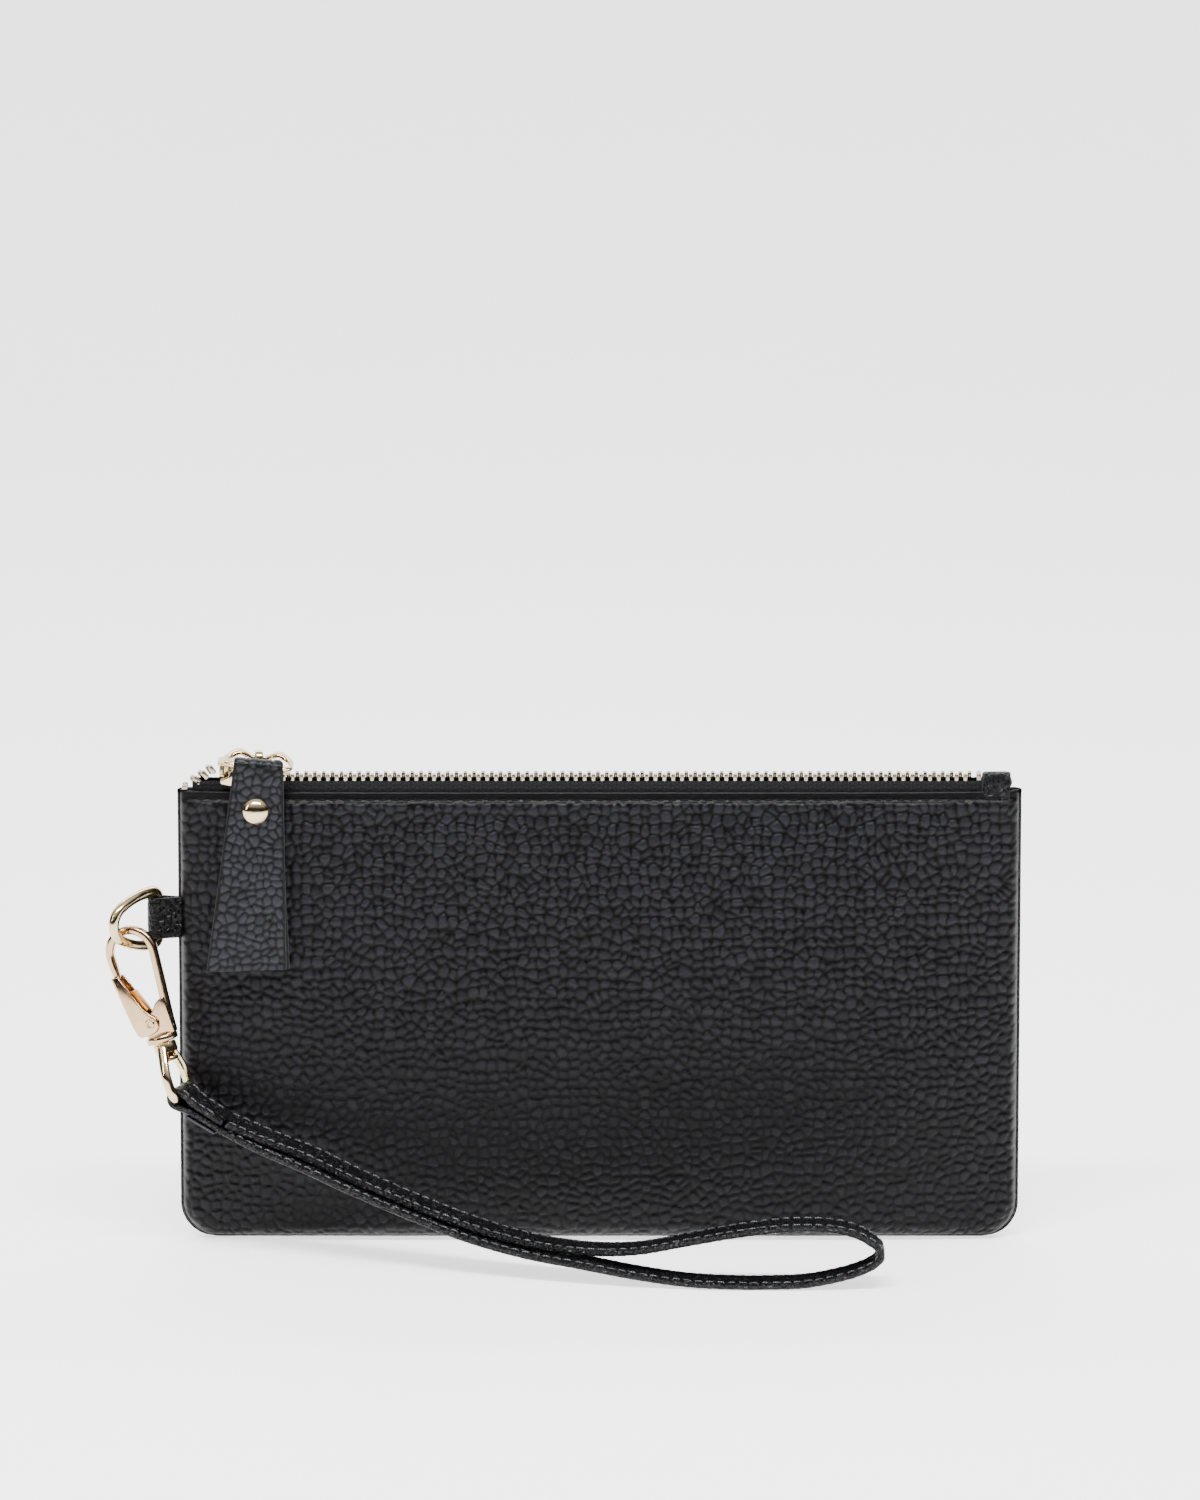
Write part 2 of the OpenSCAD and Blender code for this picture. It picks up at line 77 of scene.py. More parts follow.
def make(name, verts, faces, mats, smooth=True, index=None):
    """A mesh object from points in millimetres."""
    me = bpy.data.meshes.new(name)
    me.from_pydata((np.asarray(verts, float) * MM).tolist(), [], [tuple(int(i) for i in f) for f in faces])
    me.validate()
    me.update()
    for m in mats if isinstance(mats, (list, tuple)) else [mats]:
        me.materials.append(m)
    me.polygons.foreach_set("use_smooth", [smooth] * len(me.polygons))
    if index is not None:
        me.polygons.foreach_set("material_index", index)
    ob = bpy.data.objects.new(name, me)
    scene.collection.objects.link(ob)
    return ob


def grid_faces(rows, cols, wrap=False, start=0, flip=False):
    """Quads over rows x cols points; wrap joins the last column to the first."""
    r = np.arange(rows - 1)[:, None]
    c = np.arange(cols if wrap else cols - 1)[None, :]
    d = (c + 1) % cols
    q = np.stack([r * cols + c + 0 * d, r * cols + d, (r + 1) * cols + d, (r + 1) * cols + c + 0 * d], -1)
    q = q.reshape(-1, 4) + start
    return (q[:, ::-1] if flip else q).tolist()


def keep_crease_shade(ob, values):
    """Stores the pebbles' height at each point, for the leather's colour: a painted shade, dark in the creases
    and light on the pebble tops.
    """
    layer = ob.data.attributes.new("grain", "FLOAT", "POINT")
    layer.data.foreach_set("value", np.ravel(values).astype(np.float32))


def fix_normals(ob):
    bm = bmesh.new()
    bm.from_mesh(ob.data)
    bmesh.ops.recalc_face_normals(bm, faces=bm.faces[:])
    bm.to_mesh(ob.data)
    bm.free()
    return ob


def apply_modifiers(ob):
    dg = bpy.context.evaluated_depsgraph_get()
    me = bpy.data.meshes.new_from_object(ob.evaluated_get(dg))
    ob.modifiers.clear()
    old = ob.data
    ob.data = me
    bpy.data.meshes.remove(old)
    return ob


def bevelled(ob, width, segments=3, angle=30):
    """Rounds the edges of a hard piece; width in millimetres."""
    mod = ob.modifiers.new("bevel", "BEVEL")
    mod.width = width * MM
    mod.segments = segments
    mod.limit_method = "ANGLE"
    mod.angle_limit = math.radians(angle)
    return apply_modifiers(ob)


def prism(name, points, lo, hi, mats, to=lambda p: p, axis="y", bevel=0.0, segments=3):
    """A polygon extruded from lo to hi, its edges rounded. Its points are (x, z) for axis y and
    (x, y) for axis z."""
    n = len(points)
    if axis == "y":
        verts = [(a, lo, b) for a, b in points] + [(a, hi, b) for a, b in points]
    else:
        verts = [(a, b, lo) for a, b in points] + [(a, b, hi) for a, b in points]
    faces = [list(range(n)), list(range(2 * n - 1, n - 1, -1))]
    faces += [[i, (i + 1) % n, n + (i + 1) % n, n + i] for i in range(n)]
    ob = make(name, to(np.array(verts, float)), faces, mats)
    fix_normals(ob)
    if bevel:
        bevelled(ob, bevel, segments)
    ob.data.polygons.foreach_set("use_smooth", [True] * len(ob.data.polygons))
    ob.data.set_sharp_from_angle(angle=math.radians(38))
    return ob


def frames(path, up=None, closed=False):
    """Unit tangents, and two cross directions carried along a path without twist."""
    p = np.asarray(path, float)
    if closed:
        t = unit(np.roll(p, -1, 0) - np.roll(p, 1, 0))
    else:
        t = unit(np.gradient(p, axis=0))
    a = np.array(up if up is not None else (0, 0, 1), float)
    if abs(t[0] @ a) > 0.95:
        a = np.array((0.3, 1, 0.2))
    us = []
    for d in t:
        a = a - (a @ d) * d
        a = a / np.linalg.norm(a)
        us.append(a)
    us = np.array(us)
    return t, us, np.cross(t, us)


def tube_points(path, ru, rv=None, sides=16, up=None, closed=False, power=2.0):
    """Rings round a path. ru and rv are the half sizes across, numbers or one for each point."""
    t, u, v = frames(path, up, closed)
    n = len(path)
    ru = np.broadcast_to(np.asarray(ru, float), (n,))
    rv = ru if rv is None else np.broadcast_to(np.asarray(rv, float), (n,))
    a = np.arange(sides) * 2 * math.pi / sides
    ca, sa = np.cos(a), np.sin(a)
    k = (np.abs(ca) ** power + np.abs(sa) ** power) ** (-1 / power)
    ca, sa = ca * k, sa * k
    return (np.asarray(path, float)[:, None, :] + u[:, None, :] * (ru[:, None] * ca)[..., None]
            + v[:, None, :] * (rv[:, None] * sa)[..., None])


def tube(name, path, ru, mats, rv=None, sides=16, up=None, closed=False, power=2.0, round_ends=True):
    rings = tube_points(path, ru, rv, sides, up, closed, power)
    n = len(rings)
    if closed:
        verts = rings.reshape(-1, 3)
        faces = grid_faces(n, sides, wrap=True)
        base = (n - 1) * sides
        faces += [[base + j, base + (j + 1) % sides, (j + 1) % sides, j] for j in range(sides)]
        return fix_normals(make(name, verts, faces, mats))
    p = np.asarray(path, float)
    ends = []
    if round_ends:
        r = float(np.min(np.broadcast_to(np.asarray(ru, float), (n,))))
        for e, nxt in ((0, 1), (-1, -2)):
            d = unit(p[e] - p[nxt])
            caps = []
            for th in (35, 62, 80):
                s, c = math.sin(math.radians(th)), math.cos(math.radians(th))
                caps.append(p[e] + (rings[e] - p[e]) * c + d * r * s * 0.8)
            ends.append((caps, p[e] + d * r * 0.8))
        rings = np.concatenate([np.array(ends[0][0][::-1]), rings, np.array(ends[1][0])])
    verts = rings.reshape(-1, 3)
    n = len(rings)
    faces = grid_faces(n, sides, wrap=True)
    tips = [ends[0][1], ends[1][1]] if round_ends else [p[0], p[-1]]
    verts = np.vstack([verts, tips])
    faces += [[n * sides, (j + 1) % sides, j] for j in range(sides)]
    b = (n - 1) * sides
    faces += [[n * sides + 1, b + j, b + (j + 1) % sides] for j in range(sides)]
    return fix_normals(make(name, verts, faces, mats))


def lathe(name, profile, mats, to, segments=40, sharp=40):
    """A turned piece: profile is (radius, height) pairs along the piece's own Y axis."""
    a = np.arange(segments) * 2 * math.pi / segments
    rings = [np.stack([r * np.cos(a), np.full(segments, h), r * np.sin(a)], -1) for r, h in profile]
    verts = np.concatenate(rings)
    faces = grid_faces(len(profile), segments, wrap=True)
    faces += [list(range(segments))[::-1], [(len(profile) - 1) * segments + i for i in range(segments)]]
    ob = fix_normals(make(name, to(verts), faces, mats))
    ob.data.set_sharp_from_angle(angle=math.radians(sharp))
    return ob


def arc(x, y, r, angles):
    """Points on a circle, at the angles given in degrees."""
    return [(x + r * math.cos(math.radians(a)), y + r * math.sin(math.radians(a))) for a in angles]


def catmull(points, per):
    p = np.asarray(points, float)
    q = np.vstack([2 * p[0] - p[1], p, 2 * p[-1] - p[-2]])
    out = []
    for i in range(1, len(q) - 2):
        a, b, c, d = q[i - 1], q[i], q[i + 1], q[i + 2]
        for k in range(per):
            t = k / per
            out.append(0.5 * (2 * b + (c - a) * t + (2 * a - 5 * b + 4 * c - d) * t * t
                              + (3 * b - a - 3 * c + d) * t ** 3))
    out.append(p[-1])
    return np.array(out)


def resample(path, step):
    p = np.asarray(path, float)
    s = np.concatenate([[0], np.cumsum(np.linalg.norm(np.diff(p, axis=0), axis=1))])
    n = max(2, int(round(s[-1] / step)) + 1)
    t = np.linspace(0, s[-1], n)
    return np.stack([np.interp(t, s, p[:, k]) for k in range(3)], -1)


# ---------------------------------------------------------------- leather grain
def hashed(i, j, k):
    with np.errstate(over="ignore"):
        h = (i.astype(np.int64) * 374761393 + j.astype(np.int64) * 668265263 + k * 1274126177) & 0xFFFFFFFF
        h = ((h ^ (h >> 13)) * 1274126177) & 0xFFFFFFFF
        h = (h ^ (h >> 16)) & 0xFFFFFFFF
    return h / 4294967296.0


def smooth_noise(x, y, seed):
    i, j = np.floor(x), np.floor(y)
    fx, fy = x - i, y - j
    fx, fy = fx * fx * (3 - 2 * fx), fy * fy * (3 - 2 * fy)
    a, b = hashed(i, j, seed), hashed(i + 1, j, seed)
    c, d = hashed(i, j + 1, seed), hashed(i + 1, j + 1, seed)
    return (a * (1 - fx) + b * fx) * (1 - fy) + (c * (1 - fx) + d * fx) * fy - 0.5


def step01(t):
    t = np.clip(t, 0, 1)
    return t * t * (3 - 2 * t)


def pebbles(x, y, size, seed=1):
    """Height of pebbled grain, about 0 in the creases and 1 on the tops. x and y in millimetres."""
    wx = (x + 0.9 * smooth_noise(x / 5.1, y / 5.1, seed + 3)
          + 0.35 * smooth_noise(x / 1.7, y / 1.7, seed + 4))
    wy = (y + 0.9 * smooth_noise(x / 5.1 + 40, y / 5.1, seed + 5)
          + 0.35 * smooth_noise(x / 1.7, y / 1.7 + 9, seed + 6))
    u, v = wx / size, wy / size
    i, j = np.floor(u), np.floor(v)
    f1 = np.full(u.shape, 9.0)
    f2 = np.full(u.shape, 9.0)
    tall = np.zeros(u.shape)
    for di in (-1, 0, 1):
        for dj in (-1, 0, 1):
            ci, cj = i + di, j + dj
            d = np.hypot(ci + 0.5 + 0.82 * (hashed(ci, cj, seed) - 0.5) - u,
                         cj + 0.5 + 0.82 * (hashed(ci, cj, seed + 1) - 0.5) - v)
            nearer = d < f1
            f2 = np.where(nearer, f1, np.minimum(f2, d))
            tall = np.where(nearer, hashed(ci, cj, seed + 2), tall)
            f1 = np.where(nearer, d, f1)
    edge = step01((f2 - f1) / 0.36)
    dome = 1 - np.clip(f1, 0, 1) ** 2
    return edge * (0.62 + 0.38 * dome) * (0.72 + 0.5 * tall)


# ---------------------------------------------------------------- materials
def principled(name):
    m = bpy.data.materials.new(name)
    m.use_nodes = True
    nt = m.node_tree
    return m, nt, nt.nodes["Principled BSDF"]


def noise(nt, coords, scale, detail=4.0, rough=0.6):
    n = nt.nodes.new("ShaderNodeTexNoise")
    n.inputs["Scale"].default_value = scale
    n.inputs["Detail"].default_value = detail
    n.inputs["Roughness"].default_value = rough
    nt.links.new(coords.outputs["Object"], n.inputs["Vector"])
    return n


def ramp(nt, source, stops):
    r = nt.nodes.new("ShaderNodeValToRGB")
    els = r.color_ramp.elements
    while len(els) < len(stops):
        els.new(0.5)
    for e, (pos, col) in zip(els, stops):
        e.position = pos
        e.color = (*col, 1) if len(col) == 3 else col
    nt.links.new(source, r.inputs["Fac"])
    return r


def bump(nt, source, strength, distance, normal=None):
    b = nt.nodes.new("ShaderNodeBump")
    b.inputs["Strength"].default_value = strength
    b.inputs["Distance"].default_value = distance
    nt.links.new(source, b.inputs["Height"])
    if normal is not None:
        nt.links.new(normal.outputs["Normal"], b.inputs["Normal"])
    return b


def leather(name, dark, light, rough=(0.3, 0.46), grain=1.0, shine=0.13, cell=0.0, shade_creases=False):
    m, nt, bsdf = principled(name)
    co = nt.nodes.new("ShaderNodeTexCoord")
    broad = noise(nt, co, 55, 3)
    col = ramp(nt, broad.outputs["Fac"], [(0.3, dark), (0.75, light)])
    nt.links.new(col.outputs["Color"], bsdf.inputs["Base Color"])
    # painted shade: the colour follows the stored pebble heights, dark in the creases between pebbles and
    # light on their tops
    if shade_creases:
        tops = nt.nodes.new("ShaderNodeAttribute")
        tops.attribute_name = "grain"
        col = ramp(nt, tops.outputs["Fac"], [(0.25, dark), (0.95, light)])
        nt.links.new(col.outputs["Color"], bsdf.inputs["Base Color"])
    fine = noise(nt, co, 1500, 5, 0.7)
    rr = nt.nodes.new("ShaderNodeMapRange")
    rr.inputs["From Min"].default_value = 0.3
    rr.inputs["From Max"].default_value = 0.7
    rr.inputs["To Min"].default_value = rough[0]
    rr.inputs["To Max"].default_value = rough[1]
    nt.links.new(fine.outputs["Fac"], rr.inputs["Value"])
    nt.links.new(rr.outputs["Result"], bsdf.inputs["Roughness"])
    b1 = bump(nt, fine.outputs["Fac"], 0.35 * grain, 0.00012)
    crease = nt.nodes.new("ShaderNodeTexVoronoi")
    crease.feature = "DISTANCE_TO_EDGE"
    crease.inputs["Scale"].default_value = 1250
    nt.links.new(co.outputs["Object"], crease.inputs["Vector"])
    cr = ramp(nt, crease.outputs["Distance"], [(0.0, (0, 0, 0)), (0.12, (1, 1, 1))])
    b2 = bump(nt, cr.outputs["Color"], 0.22 * grain, 0.0001, b1)
    last = b2
    if cell:
        big = nt.nodes.new("ShaderNodeTexVoronoi")
        big.feature = "DISTANCE_TO_EDGE"
        big.inputs["Scale"].default_value = 1000 / cell
        nt.links.new(co.outputs["Object"], big.inputs["Vector"])
        bc = ramp(nt, big.outputs["Distance"], [(0.0, (0, 0, 0)), (0.3, (1, 1, 1))])
        last = bump(nt, bc.outputs["Color"], 0.9, 0.00035, b2)
    nt.links.new(last.outputs["Normal"], bsdf.inputs["Normal"])
    bsdf.inputs["Specular IOR Level"].default_value = shine
    return m


def metal(name, base, warm, rough=0.11, marks=0.05):
    m, nt, bsdf = principled(name)
    co = nt.nodes.new("ShaderNodeTexCoord")
    n1 = noise(nt, co, 140, 3)
    col = ramp(nt, n1.outputs["Fac"], [(0.35, base), (0.8, warm)])
    nt.links.new(col.outputs["Color"], bsdf.inputs["Base Color"])
    n2 = noise(nt, co, 900, 4, 0.6)
    rr = nt.nodes.new("ShaderNodeMapRange")
    rr.inputs["From Min"].default_value = 0.35
    rr.inputs["From Max"].default_value = 0.8
    rr.inputs["To Min"].default_value = rough
    rr.inputs["To Max"].default_value = rough + 0.12
    nt.links.new(n2.outputs["Fac"], rr.inputs["Value"])
    nt.links.new(rr.outputs["Result"], bsdf.inputs["Roughness"])
    b = bump(nt, n2.outputs["Fac"], marks, 0.00004)
    nt.links.new(b.outputs["Normal"], bsdf.inputs["Normal"])
    bsdf.inputs["Metallic"].default_value = 1.0
    return m


def cloth(name, dark, light, pitch=0.45, strength=0.5, sheen=0.25, rough=0.8):
    """Plain weave: crossing waves of yarn, pitch in millimetres."""
    m, nt, bsdf = principled(name)
    co = nt.nodes.new("ShaderNodeTexCoord")
    heights = []
    for axis in ("X", "Z"):
        w = nt.nodes.new("ShaderNodeTexWave")
        w.wave_type = "BANDS"
        w.bands_direction = axis
        w.inputs["Scale"].default_value = 1000 / pitch / 6.2832 * 0.95
        w.inputs["Distortion"].default_value = 0.5
        w.inputs["Detail"].default_value = 1.0
        nt.links.new(co.outputs["Object"], w.inputs["Vector"])
        heights.append(w)
    mix = nt.nodes.new("ShaderNodeMath")
    mix.operation = "MULTIPLY"
    nt.links.new(heights[0].outputs["Fac"], mix.inputs[0])
    nt.links.new(heights[1].outputs["Fac"], mix.inputs[1])
    col = ramp(nt, mix.outputs["Value"], [(0.1, dark), (0.8, light)])
    nt.links.new(col.outputs["Color"], bsdf.inputs["Base Color"])
    fuzz = noise(nt, co, 2600, 3)
    b1 = bump(nt, fuzz.outputs["Fac"], 0.3, 0.0001)
    b2 = bump(nt, mix.outputs["Value"], strength, 0.00012, b1)
    nt.links.new(b2.outputs["Normal"], bsdf.inputs["Normal"])
    bsdf.inputs["Roughness"].default_value = rough
    bsdf.inputs["Sheen Weight"].default_value = sheen
    bsdf.inputs["Sheen Roughness"].default_value = 0.4
    bsdf.inputs["Specular IOR Level"].default_value = 0.2
    return m


# the main and pull leathers carry painted shade: their colour is darker in the creases between the pebbles
LEATHER = leather("leather_pebbled", (0.0005, 0.0005, 0.0006), (0.0092, 0.0092, 0.0122), rough=(0.28, 0.4),
                  shine=0.12,
                  shade_creases=True)
LEATHER_PULL = leather("leather_pull", (0.0006, 0.0006, 0.0008), (0.015, 0.015, 0.0195), rough=(0.28, 0.4),
                       shine=0.18,
                       shade_creases=True)
LEATHER_SMOOTH = leather("leather_smooth", (0.0018, 0.0018, 0.0022), (0.003, 0.003, 0.0036),
                         rough=(0.28, 0.4), shine=0.15,
                         cell=1.3)
LEATHER_STRAP = leather("leather_strap", (0.0018, 0.0018, 0.0022), (0.0035, 0.0035, 0.0042),
                        rough=(0.26, 0.4), shine=0.22,
                        cell=1.15)
CUT_EDGE = leather("leather_cut_edge", (0.02, 0.02, 0.023), (0.045, 0.045, 0.05), rough=(0.45, 0.6),
                   shine=0.2)
BACKING = leather("leather_inside", (0.006, 0.006, 0.0065), (0.012, 0.012, 0.013), rough=(0.7, 0.85),
                  shine=0.1)
THREAD = cloth("thread_black", (0.002, 0.002, 0.0025), (0.009, 0.009, 0.011), pitch=0.3, strength=0.6,
               sheen=0.03)
# painted highlight: the strap's thread is black, and this grey colour stands in for the highlights along its
# stitched edges
THREAD_PAINTED_HIGHLIGHT = cloth("thread_painted_highlight", (0.06, 0.06, 0.064), (0.24, 0.24, 0.25), pitch=0.28, strength=0.5,
                    sheen=0.05)
TAPE = cloth("tape_black", (0.002, 0.002, 0.0026), (0.007, 0.007, 0.009), pitch=0.5, strength=0.5, sheen=0.03)
LINING = cloth("lining_black", (0.004, 0.004, 0.005), (0.012, 0.012, 0.014), pitch=0.35, strength=0.4,
               sheen=0.05)
PALE_GOLD = metal("gold_pale", (0.62, 0.48, 0.27), (0.72, 0.57, 0.34), 0.1)
ROSE_GOLD = metal("gold_champagne", (0.5, 0.33, 0.19), (0.6, 0.42, 0.26), 0.1)
TOOTH_METAL = metal("gold_teeth", (0.34, 0.29, 0.2), (0.48, 0.41, 0.3), 0.22, 0.15)
BRONZE = metal("spring_bronze", (0.75, 0.3, 0.06), (0.85, 0.4, 0.1), 0.3, 0.2)


# ---------------------------------------------------------------- the pouch's shape
BODY_W, BODY_H, CORNER, EDGE_HALF, LIP_HALF, BULGE = 210.0, 115.0, 9.0, 2.4, 4.4, 5.6
LEATHER_T, SEAM_IN = 1.25, 2.2
CHAIN_Z = 118.0
FLOOR_GLOW = 1.7


def half_at(x, z):
    fade = np.maximum(0, 1 - np.minimum(1, np.abs(x) / 105.0) ** 6) ** 0.8
    mid = LIP_HALF + BULGE * np.sin(np.pi * np.clip(z / BODY_H, 0, 1) ** 0.8)
    return EDGE_HALF + (mid - EDGE_HALF) * fade


def edge_distance(x, z, inset=0.0):
    """Distance inside the outline of the side and bottom edges."""
    r = CORNER
    qx, qz = np.abs(x) - (BODY_W / 2 - inset - r), (r + inset) - z
    return r - (np.hypot(np.maximum(qx, 0), np.maximum(qz, 0)) + np.minimum(np.maximum(qx, qz), 0))


def panel(name, side, inset, spacing, seed, amplitude):
    """One leather panel: side -1 is the front. Its edges roll in to the seam, its top edge is turned over."""
    cols = int(BODY_W / spacing) + 1
    rows = int(BODY_H / spacing) + 1
    u = np.linspace(-1, 1, cols)
    u = u * (1 - 0.012) + 0.012 * np.sin(u * math.pi / 2)
    u = u / u[-1]
    zl = np.linspace(inset, BODY_H - 0.75, rows)
    low = np.clip(1 - (zl - inset) / CORNER, 0, 1)
    width = BODY_W / 2 - inset - CORNER + CORNER * np.sqrt(1 - low ** 2)
    x = width[:, None] * u[None, :]
    z = np.repeat(zl[:, None], cols, 1)
    d = edge_distance(x, z, inset)
    bottomness = step01((14 - z) / 12)
    roll = 2.3 + 1.6 * bottomness
    e = np.sqrt(np.maximum(0, 1 - (1 - np.clip(d / roll, 0, 1)) ** 2))
    h = half_at(x, z)
    # soft unevenness of filled leather
    soft = (0.9 * smooth_noise(x / 46 + 7, z / 38, seed + 20)
            + 0.45 * smooth_noise(x / 19, z / 17 + 3, seed + 21))
    soft = soft * step01(d / 14) * step01((BODY_H - z) / 10)
    # the pressed hem along the top, held by the stitches
    hem = step01((z - (BODY_H - 2.75)) / 0.5)
    tops = pebbles(x, z, 2.55, seed) * (1 - 0.93 * hem) * (0.35 + 0.65 * step01(d / 2.2))
    grain = tops * amplitude
    seam_y = 0.12
    y = (seam_y + (h - seam_y) * e + soft + grain - 0.34 * hem * step01(d / 3)
         + 0.3 * (1 - hem) * step01((z - BODY_H + 7) / 4) * step01(d / 3))
    skin = np.stack([x, side * y, z], -1)
    # the turn over the top edge and the flap inside
    th = np.radians(np.array([12, 35, 60, 90, 120, 150, 180]))
    yt = y[-1]
    t = LEATHER_T
    turn = np.stack([np.stack([x[-1], side * (yt - t / 2 + t / 2 * np.cos(a)), z[-1] + 0.75 * np.sin(a)], -1)
                     for a in th])
    inner_z = np.array([BODY_H - 2.5, BODY_H - 6, BODY_H - 12, BODY_H - 30, BODY_H - 60, 22, 9, 3.2])
    inner = []
    for zz in inner_z:
        w = BODY_W / 2 - SEAM_IN
        if zz <= CORNER:
            w = BODY_W / 2 - CORNER + math.sqrt(CORNER ** 2 - (CORNER - zz) ** 2) - SEAM_IN
        xi = w * u
        inner.append(np.stack([xi, side * np.maximum(0.35, half_at(xi, zz) - t - 0.35), np.full(cols, zz)],
                              -1))
    inner = np.array(inner)
    all_rows = np.concatenate([skin, turn, inner])
    n = len(all_rows)
    ob = make(name, all_rows.reshape(-1, 3), grid_faces(n, cols, flip=side > 0), [LEATHER, BACKING],
                index=([0] * ((rows + len(th) - 1) * (cols - 1)) + [1] * ((n - rows - len(th)) * (cols - 1))))
    # painted light: the pebble tops' colour grows lighter from z 20 mm to 100 mm, towards the top of the panel
    # as if lit from above, and the creases stay darker as painted shade
    keep_crease_shade(ob, np.concatenate([tops * (0.55 + 0.45 * step01((z - 20) / 80)),
                                   np.full((n - rows, cols), 0.45)]))
    return ob


SPACING = 0.46
front = panel("panel_front", -1, 0.55, SPACING, 11, 0.5)
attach(front, "pouch")
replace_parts(front, "front_panel")
back = panel("panel_back", 1, 0.0, SPACING, 57, 0.5)
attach(back, "pouch")
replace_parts(back, "back_panel")

# ---------------------------------------------------------------- the wrist strap
ROUTE = [
    (-92.39, -16.77, 34.25), (-88, -17.1, 32.4), (-84, -17.5, 30.7), (-78, -18.7, 28.5),
    (-72, -20.2, 26.5), (-60, -23.5, 21.4), (-46, -27.5, 16.2), (-32, -32.2, 11.9),
    (-18, -36.6, 8.8), (-4, -40.4, 7.6), (9, -43.2, 8.3), (22, -45.6, 11.2),
    (34, -47.3, 13.8), (46, -48.3, 15.5), (56, -48.5, 15.5), (62.5, -48.5, 14.2),
    (67, -48.5, 11.8), (69.3, -48.5, 9.2), (68, -48.5, 6.6), (63.5, -48.5, 4.3),
    (57, -48.5, 2.5), (50, -48.5, 1.3), (42, -48.4, 0.95), (34, -48.4, 0.95),
    (22, -47.7, 1.4), (9, -45.8, 2.8), (-4, -43.2, 4.7), (-18, -39.4, 6.5),
    (-32, -35, 9.5), (-46, -30.3, 13.9), (-60, -26.3, 19), (-72, -23, 23.9),
    (-78, -21.3, 26.1), (-84, -19.3, 28.3), (-88.5, -17.8, 30.3), (-93.26, -16.5, 32.47)]
STRAP_W, STRAP_T, FOLD_T = 9.0, 1.8, 1.74
STITCH_IN = 1.15                 # from the strap's edge to its stitches
STRAP_STITCH = (2.7, 2.05, 0.19)  # pitch, length and radius of one stitch
EYE_BAR = np.array([-103.681, -12.637, 39.292])
BAR_DIR = np.array([0.3355, 0.9418, -0.0204])
FOLD_U = np.array([0.835, -0.3074, -0.4563])
FOLD_N = np.array([0.436, -0.136, 0.8896])


def across_strap(x):
    slope = np.where(x > 48, 0.0, -0.4 * np.cos(np.pi / 2 * np.clip((x + 104) / 152, 0, 1) ** 1.15))
    return unit(np.stack([-slope, np.ones_like(x), np.zeros_like(x)], -1))


def ribbon(name, line, width_dir, half_w, thick, mats, grain=0.12, size=1.5, seed=3, groove=1.1,
           spacing=0.4):
    """A flat leather band along a line: both faces have grain and a sewn groove near each edge."""
    line = np.asarray(line, float)
    n = len(line)
    t = unit(np.gradient(line, axis=0))
    w = np.asarray(width_dir, float)
    w = unit(w - np.sum(w * t, -1, keepdims=True) * t)
    nrm = np.cross(t, w)
    half_w = np.broadcast_to(np.asarray(half_w, float), (n,))
    s = np.concatenate([[0], np.cumsum(np.linalg.norm(np.diff(line, axis=0), axis=1))])
    m = max(8, int(2 * half_w.max() / spacing))
    c = np.linspace(-1, 1, m + 1)
    c = np.sin(c * 1.35) / math.sin(1.35)
    a = half_w[:, None] * c[None, :]
    b = thick / 2
    inner = half_w[:, None] - np.abs(a)
    shoulder = np.sqrt(np.maximum(0, 1 - (1 - np.clip(inner / 0.55, 0, 1)) ** 2))
    seam = 0.0
    if groove:
        seam = -0.16 * np.exp(-((inner - groove) / 0.32) ** 2)
    faces_pts, tops = [], []
    for sign in (1, -1):
        g = grain * pebbles(a + 31 * sign, s[:, None] + 0 * a, size, seed + sign) * step01(inner / 0.9)
        if groove:
            g = g * (1 - 0.8 * np.exp(-((inner - groove) / 0.45) ** 2))
        tops.append(g / max(grain, 1e-6))
        hgt = (b - 0.35) + 0.3 * shoulder + g + seam - grain * 0.4
        faces_pts.append(line[:, None, :] + w[:, None, :] * a[..., None] + nrm[:, None,
                                                                               :] * (sign * hgt)[..., None])
    top, bottom = faces_pts
    mid = []
    for e in (-1, 1):
        mid.append(line + w * (e * (half_w + 0.1))[:, None])
    ring = np.concatenate([top, (mid[1] + nrm * 0.28)[:, None], (mid[1] - nrm * 0.28)[:, None],
                           bottom[:, ::-1], (mid[0] - nrm * 0.28)[:, None], (mid[0] + nrm * 0.28)[:, None]],
                          1)
    k = ring.shape[1]
    faces = grid_faces(n, k, wrap=True, flip=True)
    # material 1 is the cut edge: the quads past each face's last point
    idx = [int(m <= j <= m + 2 or j >= 2 * (m + 1) + 1) for j in range(k)] * (n - 1)
    verts = ring.reshape(-1, 3)
    half = m + 1
    caps = []
    for base, rev in ((0, False), ((n - 1) * k, True)):
        # the two faces run opposite ways round the ring, so points across the band pair up
        for q in range(m):
            a0, a1 = q, q + 1
            b0, b1 = 2 * half + 1 - q, 2 * half - q
            f = [base + a0, base + a1, base + b1, base + b0]
            caps.append(f if rev else f[::-1])
        caps.append([base + m, base + m + 1, base + m + 2, base + m + 3])
        caps.append([base + 0, base + 2 * half + 1, base + 2 * half + 2, base + 2 * half + 3])
    ob = make(name, verts, faces + caps, mats, index=idx + [1] * len(caps))
    none = np.zeros((n, 2))
    # pebble heights for the colour of leathers that read them: painted shade, darker in the creases
    keep_crease_shade(ob, np.concatenate([tops[0], none, tops[1][:, ::-1], none], 1))
    fix_normals(ob)
    return ob, line, w, nrm, s


